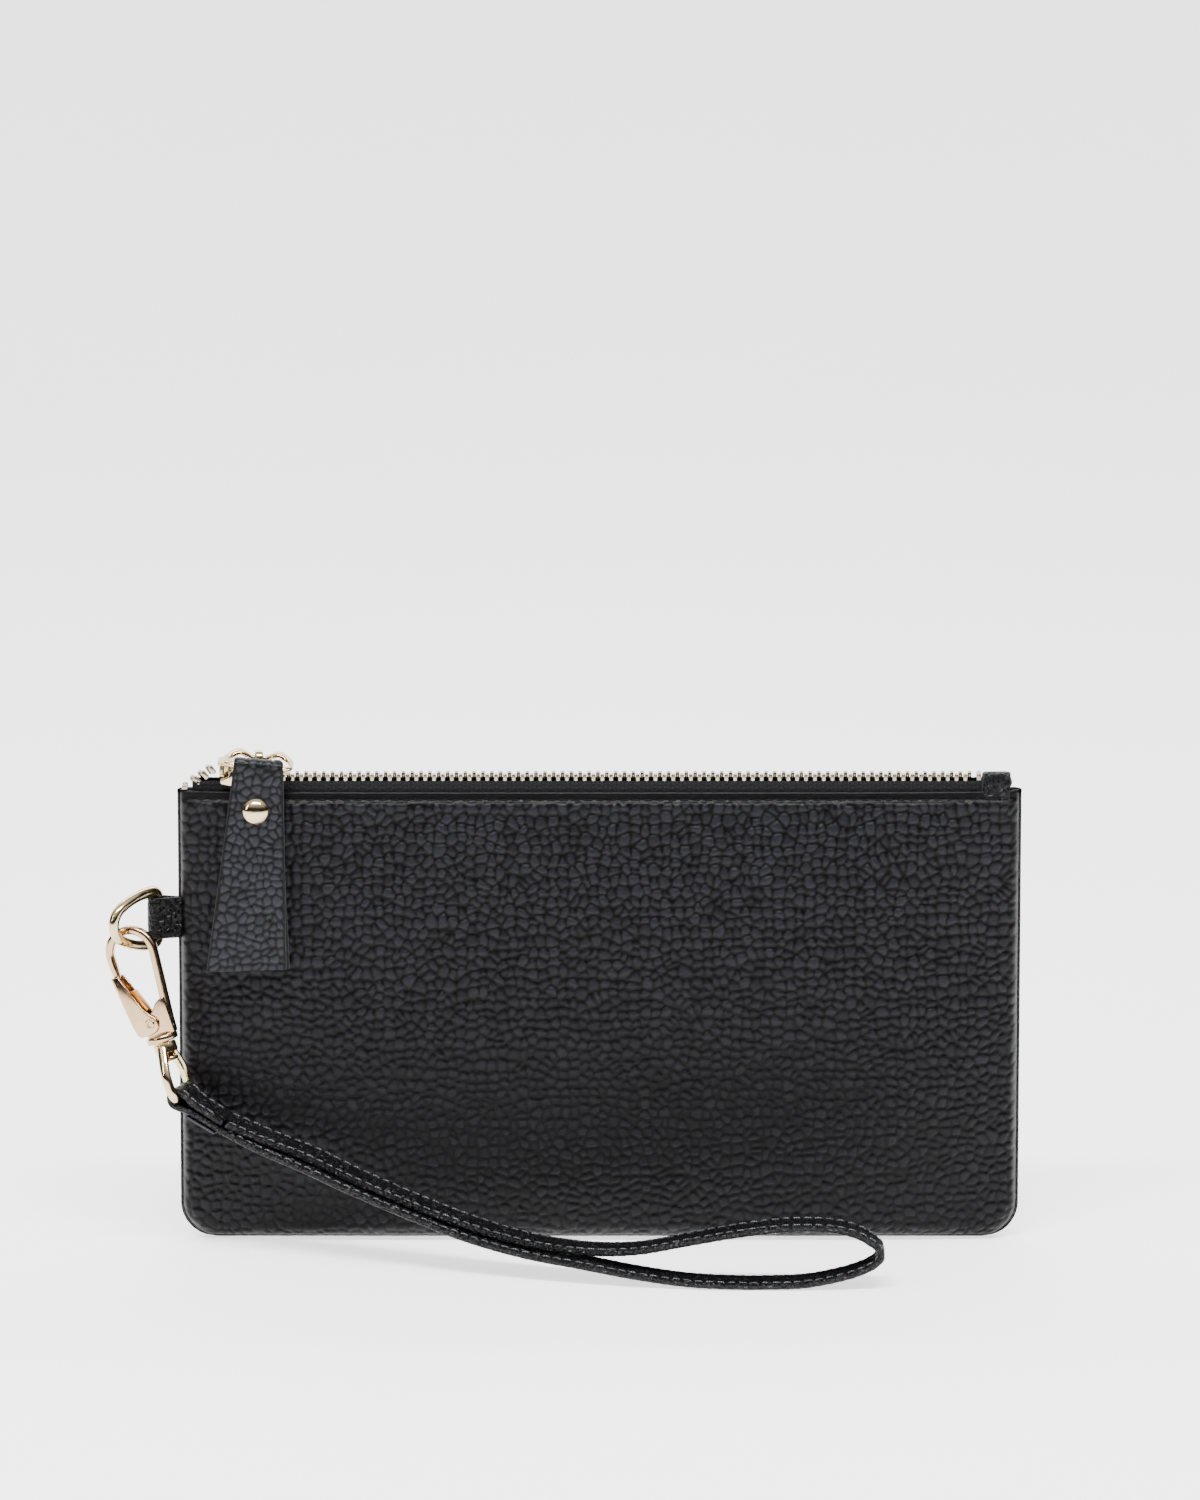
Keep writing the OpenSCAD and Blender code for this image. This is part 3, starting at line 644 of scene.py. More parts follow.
def stitches(name, line, side_dir, normal, offset, lift, pitch, length, radius, mat, start=1.5, slant=0.0):
    """A row of sewn threads that dip into the leather at both ends."""
    s = np.concatenate([[0], np.cumsum(np.linalg.norm(np.diff(line, axis=0), axis=1))])
    faces = []
    sides, seg = 8, 7
    count = 0
    centre = start
    verts = []
    while centre + length / 2 < s[-1] - start * 0.5:
        t = np.linspace(-0.5, 0.5, seg)
        at = centre + t * length
        p = np.stack([np.interp(at, s, line[:, k]) for k in range(3)], -1)
        wd = unit(np.stack([np.interp(at, s, side_dir[:, k]) for k in range(3)], -1))
        nd = unit(np.stack([np.interp(at, s, normal[:, k]) for k in range(3)], -1))
        rise = lift + radius * 0.9 - 1.7 * radius * (2 * t) ** 4
        p = p + wd * (offset + slant * t)[:, None] + nd * rise[:, None]
        ring = tube_points(p, radius * (1 - 0.35 * (2 * np.abs(t)) ** 3), None, sides, up=nd[0])
        base = count * (seg * sides)
        verts.append(ring.reshape(-1, 3))
        faces += [[base + i for i in f] for f in grid_faces(seg, sides, wrap=True)]
        faces.append([base + i for i in range(sides)][::-1])
        faces.append([base + (seg - 1) * sides + i for i in range(sides)])
        count += 1
        centre += pitch
    return make(name, np.concatenate(verts), faces, mat)


route = catmull(ROUTE, 8)
route = resample(route, 0.45)
strap_across = across_strap(route[:, 0])
for end in range(0, 14):
    k = end / 14
    strap_across[end] = unit(BAR_DIR * (1 - k) + strap_across[end] * k)
    strap_across[-1 - end] = unit(BAR_DIR * (1 - k) + strap_across[-1 - end] * k)
strap, sl, sw, sn, ss = ribbon("wrist_strap_leather", route, strap_across, STRAP_W / 2 - 0.1, STRAP_T,
                               [LEATHER_STRAP, LEATHER_STRAP], seed=21)
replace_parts(strap, "wrist_strap")
strap_rows = []
for face, tag in ((1, "out"), (-1, "in")):
    for edge, tag2 in ((-1, "a"), (1, "b")):
        ob = stitches(f"strap_stitch_{tag}_{tag2}", sl, sw, sn * face, edge * (STRAP_W / 2 - STITCH_IN),
                      STRAP_T / 2 - 0.2,
                      *STRAP_STITCH, THREAD_PAINTED_HIGHLIGHT)
        strap_rows.append(ob)
for ob in [strap] + strap_rows:
    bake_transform(ob)


def place(piece, body, slot, *nodes):
    """The piece rides on a body and stands for these CAD nodes; slot is not used."""
    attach(piece, body)
    if nodes:
        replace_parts(piece, *nodes)


# ---------------------------------------------------------------- seam welt and top stitches
def outline(inset, step=2.0):
    """The side and bottom edge of the pouch seen from the front, from the left top to the right top."""
    w, r = BODY_W / 2 - inset, CORNER
    pts = [(-w, z) for z in np.arange(BODY_H - 1.5, CORNER + inset, -step)]
    pts += arc(-(w - r), inset + r, r, np.linspace(180, 270, 12))
    pts += [(x, inset) for x in np.arange(-(w - r) + step, w - r, step)]
    pts += arc(w - r, inset + r, r, np.linspace(270, 360, 12))
    pts += [(w, z) for z in np.arange(CORNER + inset + step, BODY_H - 1, step)]
    return np.array([(x, 0.0, z) for x, z in pts])


welt_path = resample(outline(0.62, 1.0), 1.0)
welt = tube("seam_welt", welt_path, 0.42, LEATHER_SMOOTH, 0.5, sides=10, up=(0, 1, 0))
place(welt, "pouch", "leather", "edge_welt")

STITCH_Z = BODY_H - 2.05
for side, tag in ((-1, "front"), (1, "back")):
    xs = np.linspace(-100.5, 100.5, 402)
    line = np.stack([xs, side * (half_at(xs, STITCH_Z) - 0.36), np.full_like(xs, STITCH_Z)], -1)
    up = np.tile((0.0, 0.0, 1.0), (len(xs), 1))
    out = np.tile((0.0, float(side), 0.0), (len(xs), 1))
    row = stitches(f"topstitch_thread_{tag}", line, up, out, 0.0, 0.02, 3.0, 2.25, 0.2, THREAD, start=1.6,
                   slant=0.12)
    place(row, "pouch", "thread", f"topstitch_{tag}")

# ---------------------------------------------------------------- zip
def tape(name, side):
    """Woven tape: up from inside the panel, over to the teeth, with a corded edge and a herringbone relief."""
    xs = np.arange(-101.2, 95.4, 0.3)
    y0 = half_at(xs, BODY_H) - 1.55
    low = half_at(xs, 104.0) - 1.75
    key = [(low, 104.0), (y0 + 0.35, 109.5), (y0 + 0.18, 113.5), (y0 + 0.1, 115.0), (y0 * 0.75 + 0.66, 116.0),
           (np.full_like(xs, 2.52), 116.9), (np.full_like(xs, 2.2), 117.3)]
    ys = np.array([np.broadcast_to(k[0], xs.shape) for k in key])
    zs = np.array([k[1] for k in key])
    s = np.linspace(0, len(key) - 1, 60)
    y = np.array([np.interp(s, np.arange(len(key)), ys[:, i]) for i in range(len(xs))]).T
    z = np.repeat(np.interp(s, np.arange(len(key)), zs)[:, None], len(xs), 1)
    run = s[:, None] * 0.55
    rib = np.floor(xs / 1.5)[None, :]
    diag = np.where(rib % 2 == 0, 1.0, -1.0)
    relief = (0.075 * np.sin(2 * np.pi * (run / 0.62 + diag * xs[None, :] / 1.5))
              + 0.04 * np.sin(2 * np.pi * xs[None, :] / 0.5))
    y_out = y + relief + 0.2
    outer = np.stack([np.repeat(xs[None, :], len(s), 0), side * y_out, z], -1)
    inner = np.stack([np.repeat(xs[None, :], len(s), 0), side * (y - 0.2), z], -1)[::-1]
    pts = np.concatenate([outer, inner])
    ob = make(name, pts.reshape(-1, 3), grid_faces(len(pts), len(xs)), TAPE)
    fix_normals(ob)
    place(ob, "pouch", "tape")
    return ob


for side, tag in ((-1, "front"), (1, "back")):
    ob = tape(f"zip_tape_woven_{tag}", side)
    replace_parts(ob, f"zip_tape_{tag}")
    cord_x = np.arange(-100, 94.9, 0.55)
    cord_y = np.full_like(cord_x, 2.3)
    path = np.stack([cord_x, side * cord_y, np.full_like(cord_x, 117.05)], -1)
    bead = tube(f"zip_cord_{tag}", path, 0.36 + 0.05 * np.cos(np.arange(len(cord_x)) * math.pi), TAPE,
                sides=8, up=(0, 0, 1))
    place(bead, "pouch", "tape")


def tooth_template():
    """One cast tooth in its own frame: x along the chain, y from the tape (-) to the middle, z up."""
    ob = prism("tooth", [(-0.47, -2.3), (0.47, -2.3), (0.5, -1.5), (0.42, -1.15), (0.5, -0.75), (0.34, -0.42),
                         (-0.34, -0.42), (-0.5, -0.75), (-0.42, -1.15), (-0.5, -1.5)], -0.98, 0.98, PALE_GOLD,
               axis="z", bevel=0.16, segments=2)
    v = np.array([p.co for p in ob.data.vertices]) / MM
    # a dimple on top where the next tooth's bump sits
    d = np.hypot(v[:, 0], v[:, 1] + 1.05)
    v[:, 2] -= np.sign(v[:, 2]) * 0.22 * np.exp(-(d / 0.45) ** 2)
    f = [list(p.vertices) for p in ob.data.polygons]
    bpy.data.objects.remove(ob)
    return v, f


TOOTH_V, TOOTH_F = tooth_template()
SLIDER_X, PITCH, CHAIN_END, HUMP_X = -94.8, 2.2, 92.6, -84.0


def teeth(name, side, shift):
    verts, faces = [], []
    places = []
    first = SLIDER_X + 0.9 + shift
    for i in range(int((CHAIN_END - first) // PITCH) + 1):
        x = first + i * PITCH
        rise = 2 * ((HUMP_X - x) / (HUMP_X - SLIDER_X)) ** 1.5 if x < HUMP_X else 0
        places.append((x, CHAIN_Z + rise, 0.0, 1.0))
    for i in range(3):
        places.append((SLIDER_X - 1.4 - i * 1.9 - shift * 0.8, CHAIN_Z + 2.1 - i * 1.3 - shift * 0.55,
                       math.radians(-36 - 5 * i), 1.12))
    for x, z, turn, size in places:
        v = TOOTH_V * size
        v = np.stack([v[:, 0] * math.cos(turn) + v[:, 2] * math.sin(turn), v[:, 1],
                      -v[:, 0] * math.sin(turn) + v[:, 2] * math.cos(turn)], -1)
        v = v * (1, -side, 1) + (x, 0, z)
        base = len(verts) * len(TOOTH_V)
        verts.append(v)
        faces += [[base + k for k in f] for f in TOOTH_F]
    ob = make(name, np.concatenate(verts), faces, TOOTH_METAL)
    fix_normals(ob)
    ob.data.set_sharp_from_angle(angle=math.radians(42))
    place(ob, "pouch", "teeth_metal")
    return ob


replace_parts(teeth("zip_teeth_row_front", -1, 0.0), "zip_teeth_front")
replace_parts(teeth("zip_teeth_row_back", 1, PITCH / 2), "zip_teeth_back")

stop = prism("zip_stop_end", [(93.7, CHAIN_Z - 1.1), (94.9, CHAIN_Z - 1.1), (94.9, CHAIN_Z + 0.9),
                              (94.6, CHAIN_Z + 1.1),
                              (94.0, CHAIN_Z + 1.1), (93.7, CHAIN_Z + 0.9)], -2.0, 2.0, TOOTH_METAL,
             bevel=0.3)
place(stop, "pouch", "teeth_metal", "zip_bottom_stop")
for side in (-1, 1):
    ob = prism(f"zip_stop_start_{'front' if side < 0 else 'back'}",
               [(-103.8, 115.15), (-102.35, 115.15), (-102.35, 116.0), (-102.6, 116.25), (-103.5, 116.25),
                (-103.8, 116.0)],
               side * 0.55, side * 2.15, TOOTH_METAL, bevel=0.22)
    place(ob, "pouch", "teeth_metal", "zip_top_stops")

# the folded leather tab over the zip's right end
end_line = np.array([(98.3, -2.75, 112.5), (98.4, -2.75, 114.0), (98.5, -2.65, 115.6), (98.6, -2.35, 117.2),
                     (98.7, -1.6, 118.35), (98.75, -0.6, 118.75), (98.75, 0.6, 118.75), (98.7, 1.6, 118.35),
                     (98.6, 2.35, 117.2), (98.5, 2.65, 115.6), (98.4, 2.75, 114.0), (98.3, 2.75, 112.5)])
end_line = resample(catmull(end_line, 8), 0.35)
end_tab, *_ = ribbon("zip_end_tab_leather", end_line, np.tile((1.0, 0.0, 0.0), (len(end_line), 1)), 3.35, 1.0,
                     [LEATHER_SMOOTH, CUT_EDGE], grain=0.06, size=1.2, groove=0, spacing=0.3, seed=5)
place(end_tab, "pouch", "leather", "zip_end_tab")
roll_line = resample(catmull([(100.6, 0.0, 117.6), (101.7, 0.0, 117.7), (102.2, 0.0, 117.0),
                              (101.9, 0.0, 116.1),
                              (100.8, 0.0, 115.9)], 8), 0.2)
roll, *_ = ribbon("zip_end_roll", roll_line, np.tile((0.0, 1.0, 0.0), (len(roll_line), 1)), 2.2, 0.8,
                  [LEATHER_SMOOTH, CUT_EDGE], grain=0.03, size=1.0, groove=0, spacing=0.25, seed=8)
place(roll, "pouch", "leather")

# ---------------------------------------------------------------- side tab that holds the D-ring
TAB_X, TAB_Z, TAB_H = -110.15, 82.25, 10.3
pts = [(-101.9, -0.62), (-103.8, -0.64), (-105.6, -0.7), (-107.2, -1.15), (-108.8, -1.75)]
for a in np.linspace(-75, -285, 16):
    pts.append((TAB_X + 2.06 * math.cos(math.radians(a)), 2.06 * math.sin(math.radians(a))))
pts += [(-108.8, 1.75), (-107.2, 1.15), (-105.6, 0.7), (-103.8, 0.64), (-101.9, 0.62)]
tab_line = resample(catmull([(x, y, TAB_Z) for x, y in pts], 5), 0.3)
tab, tl, tw, tn, _ = ribbon("ring_tab_leather", tab_line, np.tile((0.0, 0.0, -1.0), (len(tab_line), 1)),
                             TAB_H / 2 - 0.1,
                             1.1, [LEATHER_SMOOTH, CUT_EDGE], grain=0.05, size=1.3, groove=1.3, spacing=0.3,
                             seed=31)
place(tab, "pouch", "leather", "ring_tab")
for edge, tag in ((-1, "low"), (1, "high")):
    row = stitches(f"ring_tab_stitch_{tag}", tl, tw, tn, edge * (TAB_H / 2 - 1.4), 0.42, 2.3, 1.7, 0.15,
                   THREAD, start=1.3)
    place(row, "pouch", "thread")

# ---------------------------------------------------------------- slider
X1, X2 = SLIDER_X, SLIDER_X + 17.5
sx = np.linspace(X1 + 0.15, X2 - 0.15, 46)
f = (sx - X1) / (X2 - X1)
wide = np.interp(f, [0, 0.06, 0.2, 0.45, 0.7, 0.9, 1.0], [3.6, 4.2, 4.55, 4.6, 4.3, 3.5, 2.7])
mid_z = CHAIN_Z + np.interp(f, [0, 0.15, 0.6, 0.85, 0.97, 1.0], [3.85, 3.95, 2.75, 1.95, 1.2, 0.95])
thick = np.interp(f, [0, 0.04, 0.12, 0.9, 1.0], [0.42, 0.62, 0.68, 0.62, 0.4])
plate = tube("slider_plate", np.stack([sx, 0 * sx, mid_z], -1), thick, PALE_GOLD, wide, sides=36,
             up=(0, 0, 1), power=3.2)
place(plate, "slider", "pale_gold", "slider_body")
for side in (-1, 1):
    ob = prism(f"slider_flange_{'front' if side < 0 else 'back'}",
               [(X1 + 0.7, CHAIN_Z - 1.0), (X1 + 0.6, CHAIN_Z + 0.1), (X1 + 2.6, CHAIN_Z + 0.9),
                (X1 + 4.0, CHAIN_Z + 3.4),
                (X1 + 9.0, CHAIN_Z + 2.9), (X2 - 4.4, CHAIN_Z + 1.9), (X2 - 3.6, CHAIN_Z + 0.2),
                (X2 - 1.3, CHAIN_Z - 0.7),
                (X2 - 1.2, CHAIN_Z - 1.9), (X2 - 3.0, CHAIN_Z - 2.2), (X1 + 7, CHAIN_Z - 1.9),
                (X1 + 3, CHAIN_Z - 1.5)],
               side * 3.55, side * 4.5, PALE_GOLD, bevel=0.3)
    place(ob, "slider", "pale_gold")
low_plate = tube("slider_lower_plate", np.stack([np.linspace(X1 + 0.3, X2 - 0.5, 30), np.zeros(30),
                                                 np.full(30, CHAIN_Z - 1.72)], -1),
                 0.5, PALE_GOLD, 1.65, sides=24, up=(0, 0, 1), power=3.2)
place(low_plate, "slider", "pale_gold")
wedge = prism("slider_wedge", [(X1 + 0.3, CHAIN_Z - 1.4), (X1 + 0.3, CHAIN_Z + 3.5),
                               (X1 + 3.2, CHAIN_Z + 3.3), (X1 + 2.6, CHAIN_Z - 1.4)],
              -0.28, 0.28, PALE_GOLD, bevel=0.12)
place(wedge, "slider", "pale_gold")
CROWN = np.array([-84.6, 0.0, 122.75])
arch = [(CROWN[0], 1.62 * math.cos(a),
         CROWN[2] + 1.55 * math.sin(a)) for a in np.linspace(math.radians(-38), math.radians(218), 24)]
crown = tube("slider_bridge", arch, 0.42, PALE_GOLD, 1.0, sides=18, up=(0, 0, 1), power=2.8)
place(crown, "slider", "pale_gold", "slider_crown")


def rot_x(a):
    a = math.radians(a)
    return np.array([[1, 0, 0], [0, math.cos(a), -math.sin(a)], [0, math.sin(a), math.cos(a)]])


def rot_y(a):
    a = math.radians(a)
    return np.array([[math.cos(a), 0, math.sin(a)], [0, 1, 0], [-math.sin(a), 0, math.cos(a)]])


def rot_z(a):
    a = math.radians(a)
    return np.array([[math.cos(a), -math.sin(a), 0], [math.sin(a), math.cos(a), 0], [0, 0, 1]])


# ---------------------------------------------------------------- pull ring
LOOP = rot_y(5) @ rot_x(4)
LOOP_W, LOOP_D = 16.1, 8.0


def in_loop(p):
    return CROWN + np.asarray(p, float) @ LOOP.T


def in_pull(p):
    return in_loop(np.array((0, -LOOP_D, 0)) + np.asarray(p, float) @ rot_x(-8.5).T)


hw = LOOP_W / 2
back_r, front_r = 3.4, 1.8
back_x, front_x, front_y = hw - back_r, hw - front_r, -(LOOP_D - front_r)
ring_pts = [(x, 0.0) for x in np.linspace(-back_x, back_x, 22)]
ring_pts += arc(back_x, -back_r, back_r, np.linspace(90, 0, 9)[1:])
ring_pts += [(hw, y) for y in np.linspace(-back_r, front_y, 5)[1:]]
ring_pts += arc(front_x, front_y, front_r, np.linspace(0, -90, 7)[1:])
ring_pts += [(x, -LOOP_D) for x in np.linspace(front_x, -front_x, 18)[1:]]
ring_pts += arc(-front_x, front_y, front_r, np.linspace(-90, -180, 7)[1:])
ring_pts += [(-hw, y) for y in np.linspace(front_y, -back_r, 5)[1:]]
ring_pts += arc(-back_x, -back_r, back_r, np.linspace(180, 90, 9)[1:-1])
ring_pts = np.array(ring_pts)
near_back = step01((ring_pts[:, 1] + 5.2) / 3.4)
lobe = near_back * np.exp(-((np.abs(ring_pts[:, 0]) - 4.9) / 2.0) ** 2)
ring_path = in_loop(np.stack([ring_pts[:, 0], ring_pts[:, 1], 1.25 * lobe], -1))
pull_ring = tube("pull_ring_oval", ring_path, 0.6 + 0.1 * lobe, PALE_GOLD,
                 0.64 + 0.62 * lobe + 0.2 * near_back * (np.abs(ring_pts[:, 0]) > 3),
                 sides=20, up=LOOP @ np.array((0, 0, 1.0)), closed=True, power=2.4)
place(pull_ring, "loop", "pale_gold", "pull_ring")

# ---------------------------------------------------------------- leather pull
PULL_LEN = 51.0
sec = [(0.78, -PULL_LEN - 0.2), (0.8, -40), (0.8, -28), (0.8, -16), (0.84, -8), (1.1, -3.2)]
for a in np.linspace(15, 165, 9):
    sec.append((1.42 * math.cos(math.radians(a)), 1.42 * math.sin(math.radians(a))))
sec += [(-1.1, -3.2), (-0.84, -8), (-0.8, -16), (-0.8, -28), (-0.8, -40), (-0.78, -PULL_LEN - 0.2)]
sec = resample(catmull([(0.0, y, z) for y, z in sec], 8), 0.36)
down = np.clip((4 - sec[:, 2]) / (PULL_LEN + 4.9), 0, 1)
sec[:, 0] = 1.6 * down + np.where(sec[:, 1] > 0, 0.5, -0.2) * step01((-sec[:, 2] - 25) / 25)
half_w = 5.9 + 4.1 * down - 0.15
belly = -0.5 * np.sin(np.pi * np.clip(-sec[:, 2] / PULL_LEN, 0, 1)) * (sec[:, 2] < 0)
sec[:, 1] += belly
pull, *_ = ribbon("pull_leather_folded", sec, np.tile((1.0, 0.0, 0.0), (len(sec), 1)), half_w, 1.26,
                  [LEATHER_PULL, CUT_EDGE], grain=0.26, size=2.15, groove=0,
                  spacing=0.36, seed=77)
v = np.array([p.co for p in pull.data.vertices]) / MM
v[:, 2] += 0.088 * v[:, 0] * step01((-v[:, 2] - 34) / 16)
v = in_pull(v) * MM
pull.data.vertices.foreach_set("co", v.astype(np.float32).ravel())
pull.data.update()
place(pull, "pull", "leather", "pull_leather")

RIVET_Z = -11.0
dome = [(0.05, 1.62), (0.9, 1.55), (1.7, 1.36), (2.35, 1.05), (2.85, 0.68), (3.15, 0.36), (3.3, 0.14),
        (3.32, -0.02), (3.1, -0.1), (0.8, -0.12), (0.8, -1.9)]
face_y = -1.46 - 0.31


def on_pull_front(p):
    p = np.asarray(p, float)
    q = np.stack([p[:, 0] + 0.35, face_y - p[:, 1], p[:, 2] + RIVET_Z], -1)
    return in_pull(q)


cap = lathe("pull_rivet_dome", dome, PALE_GOLD, on_pull_front, 48, 50)
place(cap, "pull", "pale_gold", "pull_rivet_cap")


def on_pull_back(p):
    p = np.asarray(p, float)
    q = np.stack([p[:, 0] + 0.35, 1.46 - 0.25 + p[:, 1], p[:, 2] + RIVET_Z], -1)
    return in_pull(q)


post = lathe("pull_rivet_base", [(0.6, 0.62), (1.5, 0.6), (2.4, 0.5), (2.9, 0.3), (3.0, 0.08), (2.9, -0.05),
                                 (1.2, -0.1), (1.2, -1.5)],
             PALE_GOLD, on_pull_back, 40, 50)
place(post, "pull", "pale_gold", "pull_rivet_post")

# ---------------------------------------------------------------- D-ring
RING_D, RING_HALF, NOSE_R, ELBOW_R = 14.8, 6.75, 4.6, 1.9
run = RING_D - NOSE_R - ELBOW_R
side_r = (run * run + RING_HALF ** 2 - NOSE_R ** 2) / (2 * (RING_HALF - NOSE_R))
turn = math.degrees(math.asin(run / (side_r - NOSE_R)))
elbow_y = RING_HALF - ELBOW_R
d2 = [(0, y) for y in np.linspace(-elbow_y, elbow_y, 10)]
d2 += arc(-ELBOW_R, elbow_y, ELBOW_R, np.linspace(0, 90, 9)[1:])
d2 += arc(-ELBOW_R, RING_HALF - side_r, side_r, np.linspace(90, 90 + turn, 12)[1:])
d2 += arc(-(RING_D - NOSE_R), 0, NOSE_R, np.linspace(90 + turn, 270 - turn, 22)[1:])
d2 += arc(-ELBOW_R, -(RING_HALF - side_r), side_r, np.linspace(270 - turn, 270, 12)[1:])
d2 += arc(-ELBOW_R, -elbow_y, ELBOW_R, np.linspace(270, 360, 9)[1:-1])
d2 = np.array(d2)
swing = rot_z(45)
ring_world = np.array((TAB_X, 0, TAB_Z)) + np.stack([d2[:, 0], 0 * d2[:, 0], d2[:, 1]], -1) @ swing.T
slim = 1.4 - 0.12 * step01((-d2[:, 0] - 2) / 6)
d_ring = tube("d_ring_cast", ring_world, slim, PALE_GOLD, slim, sides=24, up=swing @ np.array((0, 1.0, 0)),
              closed=True, power=2.25)
place(d_ring, "ring", "pale_gold", "d_ring")

# ---------------------------------------------------------------- snap hook
HANG = np.array([-117.2, -7.0, 77.05])
HOOK = rot_y(-19.7) @ rot_x(-8) @ rot_z(-18)


def in_hook(p):
    return HANG + np.asarray(p, float) @ HOOK.T


def hook_vec(v):
    return HOOK @ np.asarray(v, float)


hook_path = [(-5.95, -7.3), (-5.95, -6.0), (-5.93, -4.2)]
for a in np.linspace(180, 0, 22):
    hook_path.append((5.9 * math.cos(math.radians(a)), -2.6 + 5.9 * math.sin(math.radians(a))))
hook_path += [(5.6, -5.2), (5.15, -9), (4.65, -13), (4.15, -17), (3.7, -20.5), (3.4, -22.6)]
hook_path = resample(catmull([(x, 0, z) for x, z in hook_path], 5), 0.5)
n = len(hook_path)
frac = np.linspace(0, 1, n)
hook_bar = tube("hook_bar", in_hook(hook_path), np.interp(frac, [0, 0.05, 0.2, 1], [0.85, 1.0, 1.1, 1.15]),
                ROSE_GOLD,
                np.interp(frac, [0, 0.05, 0.2, 1], [1.0, 1.15, 1.2, 1.3]), sides=24, up=hook_vec((1, 0, 0)),
                power=2.6)
place(hook_bar, "hook", "rose_gold", "hook_body")
base_pts = [(0.6, -17.6), (1.6, -16.3), (2.9, -15.5), (4.9, -15.0), (4.3, -24.4), (-3.2, -24.4),
            (-3.0, -22.6), (-2.6, -22.2), (-1.8, -20), (-1, -18.6)]
base = prism("hook_base", base_pts, -1.4, 1.4, ROSE_GOLD, to=in_hook, bevel=0.38)
place(base, "hook", "rose_gold")


def down_hook(height):
    """Turned pieces about the hook's long axis; the profile's heights count upward from this height."""
    def to(p):
        p = np.asarray(p, float)
        return in_hook(np.stack([p[:, 0], p[:, 2], p[:, 1] + height], -1))
    return to


collar = lathe("hook_collar", [(0.5, 1.95), (3.3, 1.95), (3.75, 1.78), (3.98, 1.4), (4.0, 0.5), (3.8, 0.15),
                               (3.4, 0.0), (1.3, -0.02),
                               (1.28, -3.9), (1.6, -3.95), (2.15, -4.1), (2.3, -4.4), (2.25, -4.75),
                               (1.9, -5.0), (0.4, -5.05)],
               ROSE_GOLD, down_hook(-26.0), 48, 45)
place(collar, "hook", "rose_gold")

# gate: two cheeks, the web that joins them, and the spring strip inside
CHEEK_IN = 1.55
cheek = [(-6.9, -7.2), (-6.3, -6.9), (-5.0, -7.1), (-3.4, -11.6), (-1.6, -16.4), (-0.2, -18.5),
         (0.7, -19.3), (1.2, -20.6), (0.9, -22.0),
         (-0.1, -23.1), (-1.4, -23.5), (-4.4, -23.4), (-5.1, -22.6), (-5.7, -20)]
for side in (-1, 1):
    ob = prism(f"gate_cheek_{'front' if side < 0 else 'back'}", cheek, side * CHEEK_IN,
               side * (CHEEK_IN + 0.7), ROSE_GOLD, to=in_hook, bevel=0.25)
    place(ob, "gate", "rose_gold")
    if side < 0:
        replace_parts(ob, "gate_lever")
web = prism("gate_web", [(-6.95, -7.2), (-6.1, -7.0), (-4.9, -19.8), (-4.5, -22.8), (-5.2, -22.7),
                         (-5.75, -20)], -(CHEEK_IN + 0.25), CHEEK_IN + 0.25,
            ROSE_GOLD, to=in_hook, bevel=0.3)
place(web, "gate", "rose_gold")
strip = prism("gate_spring_strip", [(-3.7, -11.6), (-2.5, -11.6), (-0.5, -17.0), (-1.7, -17.8)], -1.05,
              1.05, BRONZE, to=in_hook, bevel=0.12)
place(strip, "gate", "spring_bronze", "gate_spring")


def across_hook(x, z, side):
    def to(p):
        p = np.asarray(p, float)
        return in_hook(np.stack([p[:, 0] + x, side * p[:, 1], p[:, 2] + z], -1))
    return to


for side in (-1, 1):
    rivet = lathe(f"gate_rivet_{'front' if side < 0 else 'back'}",
                  [(0.35, 2.42), (0.55, 2.4), (0.62, 2.62), (1.0, 2.66), (1.22, 2.55), (1.3, 2.3),
                   (0.9, 2.25), (0.89, 0.0)],
                  ROSE_GOLD, across_hook(-0.9, -20.7, side), 32, 30)
    place(rivet, "hook", "rose_gold", "gate_rivet")

# ---------------------------------------------------------------- swivel eye
washer = lathe("swivel_washer", [(1.4, 0.0), (2.6, 0.0), (2.88, 0.25), (2.9, 1.2), (2.9, 2.3), (2.7, 2.65),
                                 (1.4, 2.7)],
               PALE_GOLD, down_hook(-28.9), 40, 45)
place(washer, "eye", "pale_gold")
eye_pts = [(0, -2.2, -27.2), (0, -3.3, -29.2), (0, -4.7, -31.8), (0, -5.65, -34.3), (0, -5.8, -36.8),
           (0, -5.7, -39.0),
           (0, -4.9, -40.3), (0, -3.4, -40.5), (0, 0, -40.5), (0, 3.4, -40.5), (0, 4.9, -40.3),
           (0, 5.7, -39.0),
           (0, 5.8, -36.8), (0, 5.65, -34.3), (0, 4.7, -31.8), (0, 3.3, -29.2), (0, 2.2, -27.2)]
eye_path = resample(catmull(eye_pts, 8), 0.4)
n = len(eye_path)
mid_part = np.exp(-((np.linspace(-1, 1, n)) / 0.33) ** 4)
eye = tube("swivel_eye_loop", in_hook(eye_path), 1.25 - 0.3 * mid_part, PALE_GOLD, 0.85 + 0.1 * mid_part,
           sides=22, up=hook_vec((1, 0, 0)), power=2.3)
place(eye, "eye", "pale_gold", "swivel_eye")

# ---------------------------------------------------------------- the strap's fold round the eye
def in_fold(u, n):
    return EYE_BAR + np.asarray(u)[:, None] * FOLD_U + np.asarray(n)[:, None] * FOLD_N


